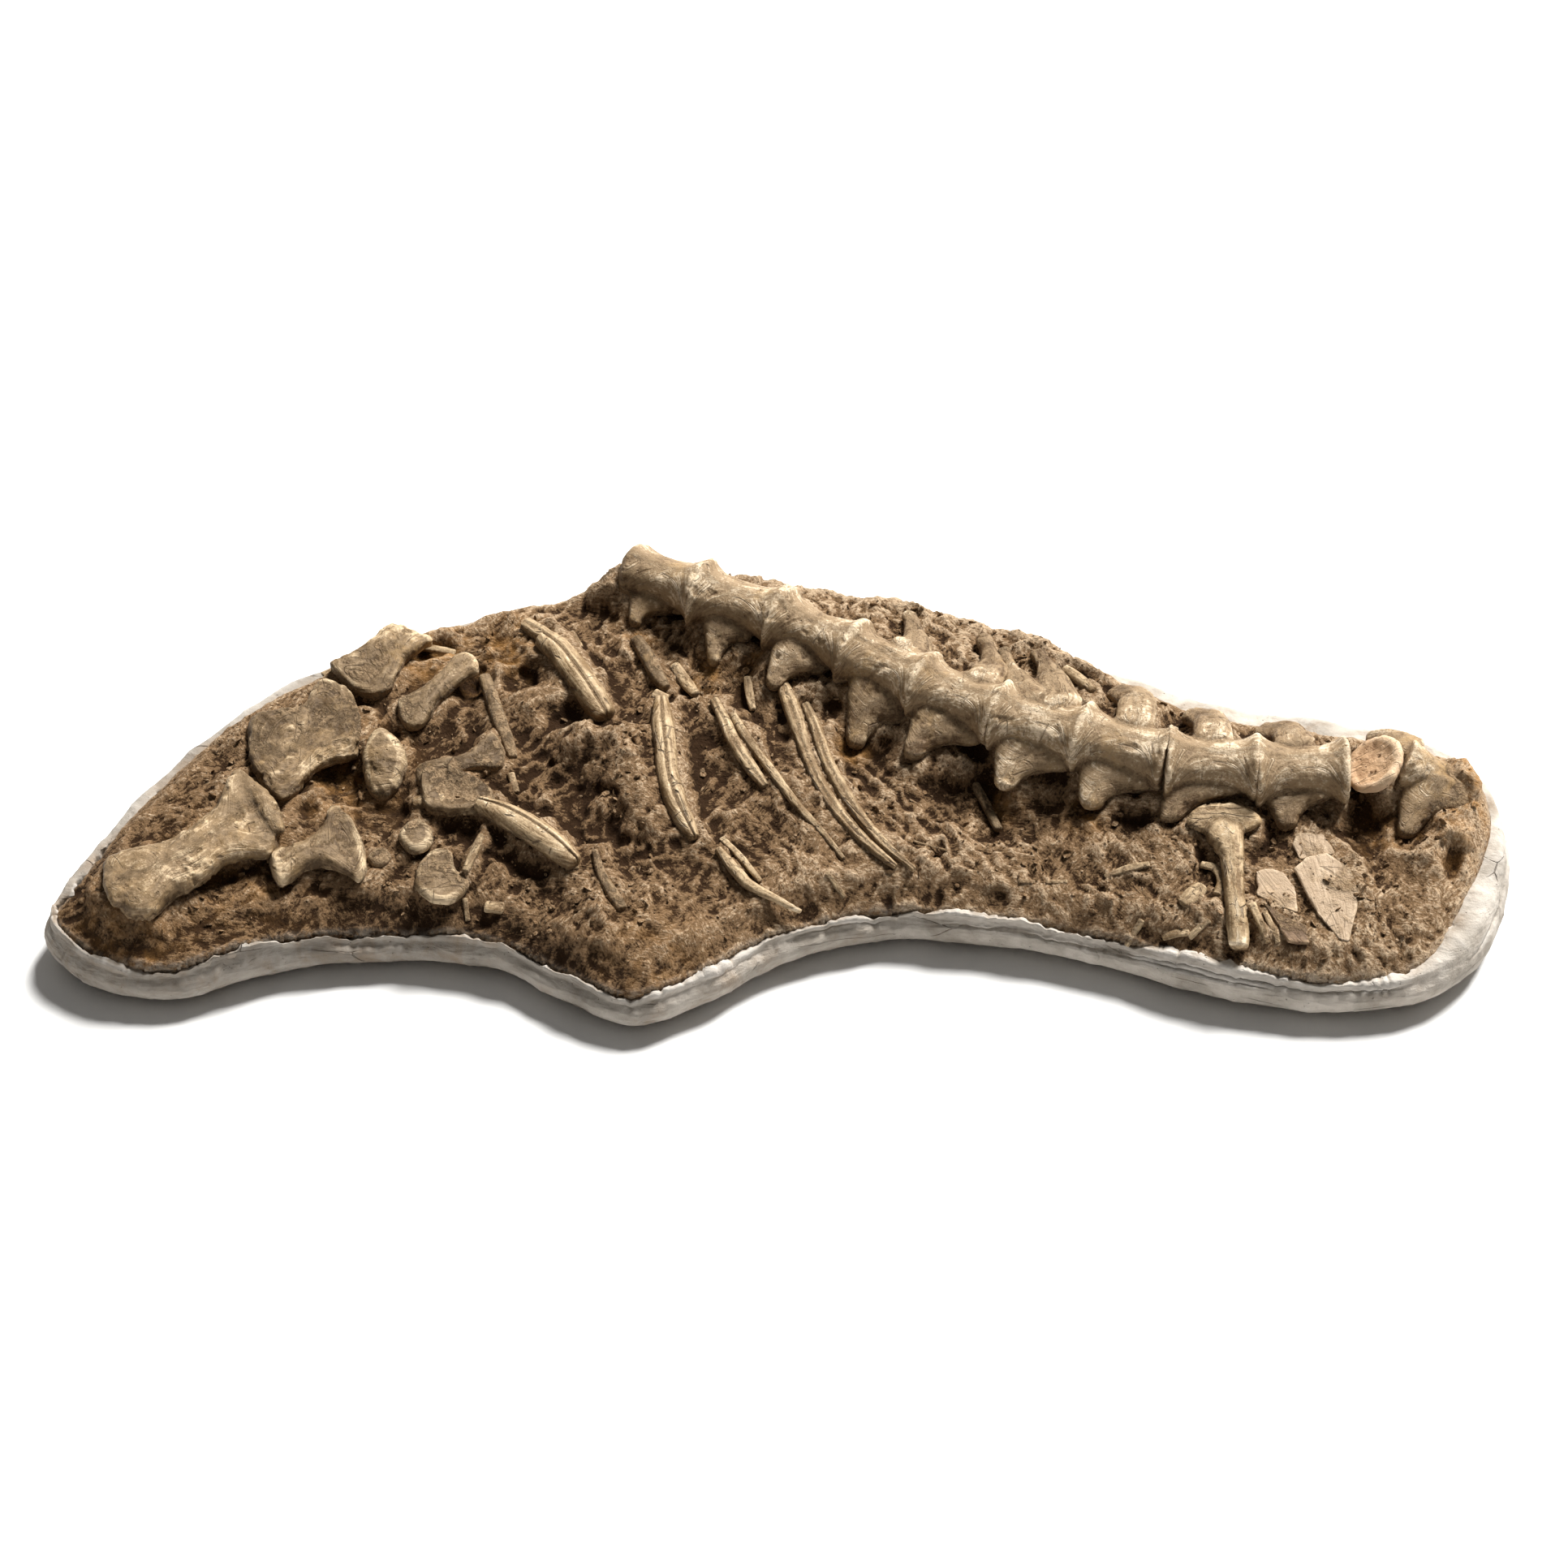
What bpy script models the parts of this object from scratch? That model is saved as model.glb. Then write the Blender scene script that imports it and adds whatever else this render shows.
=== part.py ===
"""Plaster-jacketed slab of rock with a large sea reptile's backbone, ribs and paddle bones.

The block rests on its flat plaster underside.  Length runs along X, depth along Y and
the specimens face up along Z.  The origin is on the underside, in the middle of the plan.
All sizes are in metres.
"""
import math

import bmesh
import bpy
from mathutils import Euler, Matrix, Vector

# ---------------------------------------------------------------- driving sizes
PLAN_MIDDLE = (0.0055, 0.0209)   # middle of the block on the plan that the sizes below are from
CLEARANCE = 0.0012        # room left all round each bone in its socket
WALL_FOOT_INSET = 0.030   # the jacket's wall curls under to a flat foot
WALL_BELLY_HEIGHT = 0.024  # height of the widest line of the wall
RIM_OUTER_INSET = 0.008   # rim's outer edge, in from the widest line
RIM_INNER_INSET = 0.016   # rim's inner edge, in from the widest line
TRAY_FLOOR_INSET = 0.040  # edge of the tray's floor, in from the widest line
TRAY_FLOOR = 0.014        # thickness of plaster under the rock
TRAY_GAP = 0.0008         # room between the rock and the plaster
ROCK_PITCH = 0.030        # spacing of the heights the rock surface is carved to
ROCK_SLOPE = 0.125        # the rock climbs from the front rim to the back rim
ROCK_MID_HEIGHT = 0.071   # height of the rock where the plan crosses the X axis
CENTRUM_RADIUS = 0.029    # flared ends of a vertebra's body
CENTRUM_WAIST = 0.70      # waist radius as a share of the flared end
SPOOL_SIDES = 12
TUBE_ROUNDNESS = 2        # curve bevel resolution: eight sides
SHARP_ANGLE = math.radians(40)

# Plan of the jacket's widest line, from the left tip along the front: x, y, rim height
JACKET_STATIONS = [
    (-0.636, -0.135, 0.046), (-0.590, -0.184, 0.048), (-0.520, -0.198, 0.048),  # left toe
    (-0.413, -0.161, 0.046), (-0.325, -0.152, 0.046), (-0.244, -0.164, 0.046),  # left bay
    (-0.185, -0.198, 0.048), (-0.123, -0.227, 0.048), (-0.060, -0.201, 0.048),  # middle toe
    (0.000, -0.158, 0.045), (0.095, -0.128, 0.042), (0.200, -0.137, 0.042),     # right bay
    (0.306, -0.166, 0.042), (0.400, -0.198, 0.041), (0.495, -0.212, 0.041),     # right toe
    (0.575, -0.192, 0.046), (0.625, -0.130, 0.056), (0.647, -0.045, 0.066),     # right end
    (0.630, 0.018, 0.078), (0.560, 0.070, 0.084), (0.398, 0.116, 0.086),        # right back
    (0.268, 0.165, 0.088), (0.129, 0.225, 0.088), (-0.020, 0.262, 0.086),       # middle back
    (-0.100, 0.268, 0.084), (-0.190, 0.244, 0.084), (-0.295, 0.214, 0.082),     # back peak
    (-0.411, 0.163, 0.078), (-0.500, 0.098, 0.074), (-0.575, 0.003, 0.066),     # left back
    (-0.620, -0.080, 0.054),
]

# Humps and hollows of the rock: x, y, spread along X, spread along Y, height (minus digs in)
ROCK_FORMS = [
    (-0.100, 0.235, 0.070, 0.035, 0.026), (0.000, 0.200, 0.060, 0.035, 0.026),
    (0.100, 0.150, 0.060, 0.045, 0.032), (0.200, 0.105, 0.060, 0.045, 0.034),
    (0.300, 0.065, 0.060, 0.040, 0.034), (0.400, 0.040, 0.070, 0.035, 0.032),
    (0.510, 0.030, 0.060, 0.035, 0.030), (0.600, -0.030, 0.040, 0.055, 0.024),
    (0.140, -0.005, 0.085, 0.050, -0.026), (0.235, -0.005, 0.035, 0.035, -0.024),
    (0.030, 0.100, 0.030, 0.030, -0.020), (-0.040, 0.155, 0.030, 0.030, -0.018),
    (0.500, -0.055, 0.025, 0.030, -0.016), (-0.130, 0.005, 0.055, 0.050, 0.026),
    (-0.120, -0.150, 0.080, 0.050, 0.016), (-0.450, -0.020, 0.120, 0.090, 0.014),
    (-0.300, 0.030, 0.120, 0.100, 0.010), (0.430, -0.110, 0.090, 0.060, 0.010),
]

# Backbone from the upper left to the right:
# left end x, y, right end x, y, axis height, then the side process's tip x, y, z
VERTEBRAE = [
    (-0.130, 0.234, -0.073, 0.204, 0.127, -0.126, 0.178, 0.108),
    (-0.064, 0.199, -0.001, 0.171, 0.127, -0.055, 0.118, 0.098),
    (0.008, 0.165, 0.065, 0.130, 0.125, -0.002, 0.100, 0.106),
    (0.073, 0.123, 0.126, 0.090, 0.123, 0.068, 0.042, 0.090),
    (0.135, 0.084, 0.193, 0.051, 0.121, 0.120, 0.020, 0.096),
    (0.202, 0.048, 0.265, 0.023, 0.119, 0.200, -0.016, 0.094),
    (0.274, 0.022, 0.339, -0.002, 0.117, 0.272, -0.038, 0.092),
    (0.349, -0.006, 0.416, -0.013, 0.116, 0.343, -0.058, 0.096),
    (0.426, -0.014, 0.494, -0.014, 0.113, 0.438, -0.064, 0.090),
    (0.517, -0.008, 0.580, -0.012, 0.102, 0.530, -0.066, 0.078),
]
LAST_VERTEBRA_TILT = math.radians(22)   # the end vertebra is tipped up at its broken face

# Ribs: stations along each one as x, y, z, radius
RIBS = [
    [(-0.204, 0.149, 0.106, 0.011), (-0.186, 0.128, 0.105, 0.013), (-0.168, 0.100, 0.102, 0.012),
     (-0.153, 0.070, 0.096, 0.011)],
    [(-0.232, 0.190, 0.106, 0.007), (-0.218, 0.172, 0.107, 0.008), (-0.209, 0.160, 0.107, 0.007)],
    [(-0.258, -0.034, 0.094, 0.008), (-0.235, -0.050, 0.093, 0.010), (-0.208, -0.070, 0.090, 0.010),
     (-0.186, -0.092, 0.085, 0.009), (-0.174, -0.106, 0.082, 0.007)],
    [(-0.101, 0.076, 0.098, 0.009), (-0.100, 0.034, 0.096, 0.010), (-0.095, -0.003, 0.092, 0.010),
     (-0.088, -0.038, 0.086, 0.009), (-0.076, -0.060, 0.080, 0.006)],
    [(-0.056, 0.080, 0.096, 0.005), (-0.041, 0.044, 0.091, 0.006), (-0.025, 0.012, 0.086, 0.006),
     (-0.014, -0.008, 0.082, 0.005)],
    [(-0.038, 0.078, 0.095, 0.005), (-0.023, 0.044, 0.090, 0.005), (0.000, 0.005, 0.085, 0.005),
     (0.024, -0.032, 0.079, 0.004), (0.052, -0.070, 0.072, 0.003)],
    [(0.002, 0.092, 0.098, 0.006), (0.012, 0.060, 0.094, 0.007), (0.024, 0.024, 0.089, 0.007),
     (0.040, -0.012, 0.083, 0.007), (0.064, -0.048, 0.077, 0.006), (0.092, -0.078, 0.072, 0.004)],
    [(0.022, 0.080, 0.096, 0.005), (0.034, 0.044, 0.091, 0.006), (0.052, 0.006, 0.085, 0.006),
     (0.076, -0.038, 0.078, 0.005), (0.098, -0.066, 0.073, 0.005), (0.114, -0.082, 0.070, 0.003)],
    [(-0.056, -0.074, 0.077, 0.005), (-0.036, -0.099, 0.074, 0.006), (-0.014, -0.121, 0.070, 0.005),
     (0.008, -0.136, 0.066, 0.004)],
    [(-0.262, 0.121, 0.098, 0.006), (-0.254, 0.089, 0.097, 0.006), (-0.244, 0.058, 0.094, 0.006),
     (-0.237, 0.038, 0.092, 0.004)],
    [(-0.124, 0.154, 0.100, 0.005), (-0.108, 0.128, 0.098, 0.006), (-0.090, 0.104, 0.096, 0.005)],
    [(0.256, 0.108, 0.122, 0.005), (0.270, 0.094, 0.123, 0.006), (0.284, 0.080, 0.122, 0.005)],
    [(-0.158, -0.082, 0.082, 0.004), (-0.149, -0.112, 0.078, 0.005), (-0.137, -0.138, 0.072, 0.006)],
    [(0.172, -0.010, 0.066, 0.004), (0.186, -0.040, 0.064, 0.005), (0.198, -0.066, 0.062, 0.004)],
]

# Waisted paddle bones: name, height, flatness, tilt about X in degrees, stations x, y, half width
WAISTED_BONES = [
    ("limb_bone_long", 0.088, 0.55, 6.0,
     [(-0.574, -0.146, 0.024), (-0.560, -0.134, 0.031), (-0.530, -0.110, 0.023),
      (-0.500, -0.083, 0.022), (-0.478, -0.062, 0.033), (-0.462, -0.048, 0.046),
      (-0.452, -0.040, 0.036)]),
    ("limb_bone_small", 0.082, 0.50, 5.0,
     [(-0.436, -0.106, 0.015), (-0.425, -0.101, 0.015), (-0.406, -0.091, 0.011),
      (-0.388, -0.081, 0.018), (-0.372, -0.074, 0.032), (-0.364, -0.071, 0.024)]),
    ("limb_bone_fan", 0.098, 0.32, 8.0,
     [(-0.459, 0.000, 0.030), (-0.446, 0.018, 0.043), (-0.424, 0.038, 0.038),
      (-0.404, 0.056, 0.043), (-0.388, 0.068, 0.038)]),
    ("limb_bone_hooked", 0.104, 0.40, 6.0,
     [(-0.372, 0.106, 0.024), (-0.364, 0.126, 0.028), (-0.353, 0.148, 0.020),
      (-0.343, 0.166, 0.014)]),
    ("phalanx_slender", 0.102, 0.60, 8.0,
     [(-0.334, 0.070, 0.016), (-0.322, 0.084, 0.014), (-0.305, 0.104, 0.009),
      (-0.290, 0.122, 0.011), (-0.280, 0.134, 0.014)]),
    ("phalanx_short", 0.094, 0.55, 4.0,
     [(-0.318, 0.005, 0.012), (-0.302, 0.012, 0.009), (-0.280, 0.020, 0.010),
      (-0.262, 0.030, 0.016)]),
    ("phalanx_broken", 0.096, 0.50, 4.0,
     [(-0.306, -0.026, 0.013), (-0.292, -0.030, 0.018), (-0.276, -0.036, 0.015),
      (-0.268, -0.039, 0.010)]),
    ("splint_bone", 0.084, 0.80, 6.0,
     [(-0.257, -0.062, 0.003), (-0.264, -0.082, 0.004), (-0.271, -0.100, 0.004)]),
    ("club_bone_shaft", 0.079, 0.70, 17.0,
     [(0.390, -0.054, 0.023), (0.391, -0.068, 0.021), (0.394, -0.086, 0.014),
      (0.396, -0.112, 0.011), (0.396, -0.138, 0.009), (0.394, -0.160, 0.009)]),
]

# Rounded wrist bones: name, x, y, z, half sizes along X, Y and Z
WRIST_BONES = [
    ("carpal_oval", -0.346, 0.005, 0.092, 0.018, 0.034, 0.010),
    ("carpal_round", -0.322, -0.064, 0.084, 0.013, 0.014, 0.008),
    ("carpal_sunk", -0.345, -0.086, 0.074, 0.009, 0.008, 0.006),
]

# Flat bones: name, thickness, tilt about X in degrees, height, corners x, y
FLAT_BONES = [
    ("carpal_notched", 0.014, 8.0, 0.084,
     [(-0.318, -0.113), (-0.309, -0.098), (-0.296, -0.092), (-0.286, -0.090), (-0.278, -0.097),
      (-0.279, -0.108), (-0.268, -0.116), (-0.269, -0.130), (-0.280, -0.141), (-0.296, -0.144),
      (-0.309, -0.135)]),
    ("plate_kite", 0.008, 14.0, 0.079,
     [(0.449, -0.105), (0.478, -0.091), (0.497, -0.106), (0.505, -0.124), (0.493, -0.177),
      (0.484, -0.176), (0.467, -0.152)]),
    ("plate_upper", 0.008, 10.0, 0.086,
     [(0.450, -0.078), (0.476, -0.074), (0.485, -0.088), (0.455, -0.090)]),
    ("plate_striped", 0.007, 12.0, 0.078,
     [(0.417, -0.107), (0.440, -0.108), (0.449, -0.122), (0.450, -0.148), (0.416, -0.130)]),
    ("plate_brown", 0.007, 14.0, 0.070,
     [(0.420, -0.138), (0.440, -0.153), (0.456, -0.161), (0.458, -0.178), (0.440, -0.177)]),
]

BONE_COLOUR = (0.42, 0.32, 0.21)
ROCK_COLOUR = (0.21, 0.15, 0.09)
PLASTER_COLOUR = (0.62, 0.57, 0.51)


# ---------------------------------------------------------------- scene helpers
def clear_scene():
    """Remove whatever the file opened with."""
    for item in list(bpy.data.objects):
        bpy.data.objects.remove(item, do_unlink=True)


def new_collection(name, parent=None):
    """Make a collection under the scene or under another collection."""
    made = bpy.data.collections.new(name)
    (parent or bpy.context.scene.collection).children.link(made)
    return made


def material(name, colour, roughness):
    """Plain Principled material for one sub-part."""
    made = bpy.data.materials.new(name)
    made.use_nodes = True
    shader = made.node_tree.nodes["Principled BSDF"]
    shader.inputs["Base Color"].default_value = (*colour, 1.0)
    shader.inputs["Roughness"].default_value = roughness
    return made


def add_part(name, mesh, colour, roughness, location=(0, 0, 0), rotation=None):
    """Link a finished sub-part with its own material."""
    made = bpy.data.objects.new(name, mesh)
    parts.objects.link(made)
    made.parent = datum
    made.location = location
    if rotation is not None:
        made.rotation_euler = rotation
    mesh.materials.append(material(name + "_finish", colour, roughness))
    return made


def add_cutter(name, mesh, location=(0, 0, 0), rotation=None, where=None):
    """Link a working shape that is never shown."""
    made = bpy.data.objects.new(name, mesh)
    (where or cutters).objects.link(made)
    made.parent = datum
    made.location = location
    if rotation is not None:
        made.rotation_euler = rotation
    made.display_type = "WIRE"
    made.hide_render = True
    return made


def boolean(target, operand, operation):
    """Add an exact Boolean with an object or a whole collection."""
    step = target.modifiers.new(operation.lower(), "BOOLEAN")
    step.operation = operation
    step.solver = "EXACT"
    if isinstance(operand, bpy.types.Collection):
        step.operand_type = "COLLECTION"
        step.collection = operand
    else:
        step.object = operand


def tidy_mesh(bm, name):
    """Merge doubled corners, face everything outward, shade it smooth and hand back a mesh."""
    bmesh.ops.remove_doubles(bm, verts=bm.verts, dist=0.00005)
    bmesh.ops.recalc_face_normals(bm, faces=bm.faces)
    mesh = bpy.data.meshes.new(name)
    bm.to_mesh(mesh)
    bm.free()
    mesh.shade_smooth()
    mesh.set_sharp_from_angle(angle=SHARP_ANGLE)
    return mesh


# ---------------------------------------------------------------- shape helpers
def closed_curve(stations, steps):
    """Smooth closed loop through stations, with a number of steps between each two."""
    count = len(stations)
    loop = []
    for index in range(count):
        a, b, c, d = (Vector(stations[(index + shift) % count]) for shift in (-1, 0, 1, 2))
        for step in range(steps):
            t = step / steps
            loop.append(0.5 * (2 * b + (c - a) * t + (2 * a - 5 * b + 4 * c - d) * t * t
                               + (3 * b - a - 3 * c + d) * t * t * t))
    return loop


def inset_ring(loop, inset, height, rim_share=0.0):
    """Loop moved inward; height is fixed, or a share of each station's rim height is added."""
    count = len(loop)
    ring = []
    for index, point in enumerate(loop):
        along = loop[(index + 1) % count] - loop[index - 1]
        inward = Vector((-along.y, along.x)).normalized()
        ring.append((point.x + inward.x * inset, point.y + inward.y * inset,
                     height + rim_share * point.z))
    return ring


def loft(rings, name):
    """Closed skin over a stack of rings, capped at both ends."""
    bm = bmesh.new()
    rows = [[bm.verts.new(point) for point in ring] for ring in rings]
    for lower, upper in zip(rows, rows[1:]):
        for index in range(len(lower)):
            bm.faces.new((lower[index - 1], lower[index], upper[index], upper[index - 1]))
    bm.faces.new(rows[0])
    bm.faces.new(rows[-1])
    return tidy_mesh(bm, name)


def curve_to_bmesh(path, name):
    """Turn a curve into a mesh that can be welded and cut."""
    carrier = bpy.data.objects.new(name, path)
    bm = bmesh.new()
    bm.from_mesh(bpy.data.meshes.new_from_object(carrier))
    bpy.data.objects.remove(carrier)
    return bm


def tube(stations, flatness, grow, name):
    """Tapered tube along a path, flattened about its own plane; grow makes it fatter and longer."""
    points = [Vector(station[:3]) for station in stations]
    points[0] += (points[0] - points[1]).normalized() * grow
    points[-1] += (points[-1] - points[-2]).normalized() * grow
    path = bpy.data.curves.new(name, "CURVE")
    path.dimensions = "3D"
    path.twist_mode = "Z_UP"
    path.bevel_depth = 1.0
    path.bevel_resolution = TUBE_ROUNDNESS
    path.use_fill_caps = True
    spline = path.splines.new("POLY")
    spline.points.add(len(points) - 1)
    for knot, point, station in zip(spline.points, points, stations):
        knot.co = (*point, 1.0)
        knot.radius = station[3] + grow
    bm = curve_to_bmesh(path, name)
    bmesh.ops.scale(bm, vec=(1.0, 1.0, flatness), verts=bm.verts)
    return tidy_mesh(bm, name)


def spool_object(name, length, radius, adder, **place):
    """Waisted drum turned about the local X axis, flared at both ends."""
    bm = bmesh.new()
    profile = [(0.0, 0.0), (0.0, 1.0), (0.09, 0.985), (0.26, 0.5 + CENTRUM_WAIST / 2 - 0.04),
               (0.50, CENTRUM_WAIST), (0.76, 0.5 + CENTRUM_WAIST / 2 - 0.05), (0.92, 0.97),
               (1.0, 0.98), (1.05, 0.60), (1.06, 0.0)]
    corners = [bm.verts.new((along * length, 0.0, out * radius)) for along, out in profile]
    for start, end in zip(corners, corners[1:]):
        bm.edges.new((start, end))
    mesh = bpy.data.meshes.new(name)
    bm.to_mesh(mesh)
    bm.free()
    made = adder(name, mesh, **place)
    turn = made.modifiers.new("turned", "SCREW")
    turn.axis = "X"
    turn.steps = SPOOL_SIDES
    turn.render_steps = SPOOL_SIDES
    turn.use_merge_vertices = True
    turn.merge_threshold = 0.0001
    turn.use_normal_calculate = True
    return made


def taper(start, end, start_radius, end_radius, squash, name):
    """Eight-sided tapered peg from one point to another, squashed along its local Y."""
    axis = Vector(end) - Vector(start)
    bm = bmesh.new()
    bmesh.ops.create_cone(bm, cap_ends=True, segments=8, radius1=start_radius,
                          radius2=end_radius, depth=axis.length)
    bmesh.ops.scale(bm, vec=(1.0, squash, 1.0), verts=bm.verts)
    turn = axis.to_track_quat("Z", "Y").to_matrix().to_4x4()
    middle = Matrix.Translation((Vector(start) + Vector(end)) / 2)
    bmesh.ops.transform(bm, matrix=middle @ turn, verts=bm.verts)
    return tidy_mesh(bm, name)


# ---------------------------------------------------------------- jacket and rock
def build_jacket(loop):
    """Plaster tray: floor, inner wall, rim, bulging outer wall and flat foot as one skin."""
    rings = [
        inset_ring(loop, TRAY_FLOOR_INSET, TRAY_FLOOR),
        inset_ring(loop, RIM_INNER_INSET + 0.006, 0.006, 0.5),
        inset_ring(loop, RIM_INNER_INSET, 0.0, 1.0),
        inset_ring(loop, RIM_OUTER_INSET, 0.0, 1.0),
        inset_ring(loop, 0.003, 0.006, 0.6),
        inset_ring(loop, 0.0, WALL_BELLY_HEIGHT),
        inset_ring(loop, WALL_FOOT_INSET * 0.35, 0.007),
        inset_ring(loop, WALL_FOOT_INSET, 0.0),
    ]
    return add_part("plaster_jacket", loft(rings, "plaster_jacket"), PLASTER_COLOUR, 0.85)


def rock_height(x, y):
    """Height of the carved rock surface over a point of the plan."""
    height = ROCK_MID_HEIGHT + ROCK_SLOPE * y
    for form_x, form_y, spread_x, spread_y, rise in ROCK_FORMS:
        away = ((x - form_x) / spread_x) ** 2 + ((y - form_y) / spread_y) ** 2
        height += rise * math.exp(-away / 2)
    return max(height, TRAY_FLOOR + 0.012)


def build_rock(loop):
    """Rock filling the tray, its top carved to the humps and hollows, with a socket per bone."""
    columns = round(1.32 / ROCK_PITCH)
    rows = round(0.54 / ROCK_PITCH)
    bm = bmesh.new()
    bmesh.ops.create_grid(bm, x_segments=columns, y_segments=rows, size=0.5)
    bmesh.ops.scale(bm, vec=(1.32, 0.54, 1.0), verts=bm.verts)
    bmesh.ops.translate(bm, vec=(0.005, 0.020, 0.0), verts=bm.verts)
    top = list(bm.faces)
    below = bmesh.ops.extrude_face_region(bm, geom=top)
    for corner in below["geom"]:
        if isinstance(corner, bmesh.types.BMVert):
            corner.co.z = rock_height(corner.co.x, corner.co.y)
    for corner in bm.verts:
        if corner.co.z == 0.0:
            corner.co.z = -0.02
    block = add_part("rock_matrix", tidy_mesh(bm, "rock_matrix"), ROCK_COLOUR, 0.95)

    inner = [
        inset_ring(loop, TRAY_FLOOR_INSET + TRAY_GAP, TRAY_FLOOR + TRAY_GAP),
        inset_ring(loop, RIM_INNER_INSET + 0.006 + TRAY_GAP, 0.006, 0.5),
        inset_ring(loop, RIM_INNER_INSET + TRAY_GAP, 0.0, 1.0),
        inset_ring(loop, RIM_INNER_INSET + TRAY_GAP, 0.25),
    ]
    filling = add_cutter("tray_filling", loft(inner, "tray_filling"))
    boolean(block, filling, "INTERSECT")
    boolean(block, sockets, "DIFFERENCE")
    return block


# ---------------------------------------------------------------- bones
def build_vertebra(number, sizes):
    """Waisted body with its side process and the stub of its arch, and the socket for it."""
    left = Vector((sizes[0], sizes[1], sizes[4]))
    right = Vector((sizes[2], sizes[3], sizes[4]))
    tip = Vector(sizes[5:8])
    length = (right - left).length
    heading = math.atan2(right.y - left.y, right.x - left.x)
    tilt = LAST_VERTEBRA_TILT if number == len(VERTEBRAE) else 0.0
    root = left.lerp(right, 0.36)
    spine = left.lerp(right, 0.55)
    back = Vector((math.sin(-heading), math.cos(heading), 0.0))
    name = f"vertebra_{number:02d}"

    def join_limbs(made, grow):
        """Join the side process and the arch stub to a spool; grow fattens and lengthens them."""
        tip_end = tip + (tip - root).normalized() * grow
        arch_end = spine + back * (0.036 + grow) + Vector((0.0, 0.0, 0.008 + grow / 2))
        process = taper(root, tip_end, 0.017 + 2 * grow, 0.008 + 2 * grow, 0.75,
                        made.name + "_process")
        arch = taper(spine, arch_end, 0.015 + 2 * grow, 0.010 + 2 * grow, 0.65,
                     made.name + "_arch")
        for piece in (process, arch):
            boolean(made, add_cutter(piece.name, piece), "UNION")

    def part_adder(part_name, mesh, location, rotation):
        """Link the bone itself."""
        return add_part(part_name, mesh, BONE_COLOUR, 0.7, location, rotation)

    def socket_adder(part_name, mesh, location, rotation):
        """Link the hollow the bone sits in."""
        return add_cutter(part_name, mesh, location, rotation, where=sockets)

    turned = (0.0, tilt, heading)
    bone = spool_object(name, length * 0.94, CENTRUM_RADIUS, part_adder,
                        location=left, rotation=turned)
    join_limbs(bone, 0.0)
    early = left - Euler(turned).to_matrix() @ Vector((CLEARANCE, 0.0, 0.0))
    socket = spool_object(name + "_socket", length * 0.94 + 2 * CLEARANCE,
                          CENTRUM_RADIUS + CLEARANCE, socket_adder,
                          location=early, rotation=turned)
    join_limbs(socket, CLEARANCE)


def build_rib(number, stations):
    """Curved tapering rib and the groove it lies in."""
    name = f"rib_{number:02d}"
    add_part(name, tube(stations, 1.0, 0.0, name), BONE_COLOUR, 0.7)
    add_cutter(name + "_socket", tube(stations, 1.0, CLEARANCE, name + "_socket"), where=sockets)


def build_waisted_bone(name, height, flatness, tilt, stations):
    """Dumb-bell bone lying nearly flat, and the hollow under it."""
    middle = Vector((sum(s[0] for s in stations), sum(s[1] for s in stations))) / len(stations)
    local = [(x - middle.x, y - middle.y, 0.0, half) for x, y, half in stations]
    place = {"location": (middle.x, middle.y, height), "rotation": (math.radians(tilt), 0.0, 0.0)}
    add_part(name, tube(local, flatness, 0.0, name), BONE_COLOUR, 0.7, **place)
    socket = tube(local, flatness, CLEARANCE, name + "_socket")
    add_cutter(socket.name, socket, where=sockets, **place)


def ball(half_sizes, name):
    """Flattened ball."""
    bm = bmesh.new()
    bmesh.ops.create_uvsphere(bm, u_segments=10, v_segments=6, radius=1.0)
    bmesh.ops.scale(bm, vec=half_sizes, verts=bm.verts)
    return tidy_mesh(bm, name)


def build_wrist_bone(name, x, y, z, half_x, half_y, half_z):
    """Pebble-shaped wrist bone and its hollow."""
    half = Vector((half_x, half_y, half_z))
    room = Vector((CLEARANCE, CLEARANCE, CLEARANCE))
    add_part(name, ball(half, name), BONE_COLOUR, 0.7, (x, y, z))
    add_cutter(name + "_socket", ball(half + room, name + "_socket"), (x, y, z), where=sockets)


def slab(corners, thickness, name):
    """Flat outline with thickness, its upper side at the outline's height."""
    flat = bpy.data.curves.new(name, "CURVE")
    flat.dimensions = "2D"
    flat.fill_mode = "BOTH"
    flat.extrude = thickness / 2
    spline = flat.splines.new("POLY")
    spline.points.add(len(corners) - 1)
    spline.use_cyclic_u = True
    for knot, (x, y) in zip(spline.points, corners):
        knot.co = (x, y, 0.0, 1.0)
    bm = curve_to_bmesh(flat, name)
    bmesh.ops.translate(bm, vec=(0.0, 0.0, -thickness / 2), verts=bm.verts)
    return tidy_mesh(bm, name)


def grown_outline(corners, grow):
    """Outline pushed out from its middle."""
    middle = Vector((sum(c[0] for c in corners), sum(c[1] for c in corners))) / len(corners)
    pushed = []
    for corner in corners:
        arm = Vector(corner) - middle
        pushed.append(tuple(middle + arm.normalized() * (arm.length + grow)))
    return pushed


def build_flat_bone(name, thickness, tilt, height, corners):
    """Flat bone set in the surface, and its seat."""
    middle = Vector((sum(c[0] for c in corners), sum(c[1] for c in corners))) / len(corners)
    local = [(x - middle.x, y - middle.y) for x, y in corners]
    place = {"location": (middle.x, middle.y, height), "rotation": (math.radians(tilt), 0.0, 0.0)}
    add_part(name, slab(local, thickness, name), BONE_COLOUR, 0.7, **place)
    seat = slab(grown_outline(local, 2 * CLEARANCE), thickness + 2 * CLEARANCE, name + "_socket")
    place["location"] = (middle.x, middle.y, height + CLEARANCE)
    add_cutter(seat.name, seat, where=sockets, **place)


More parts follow.
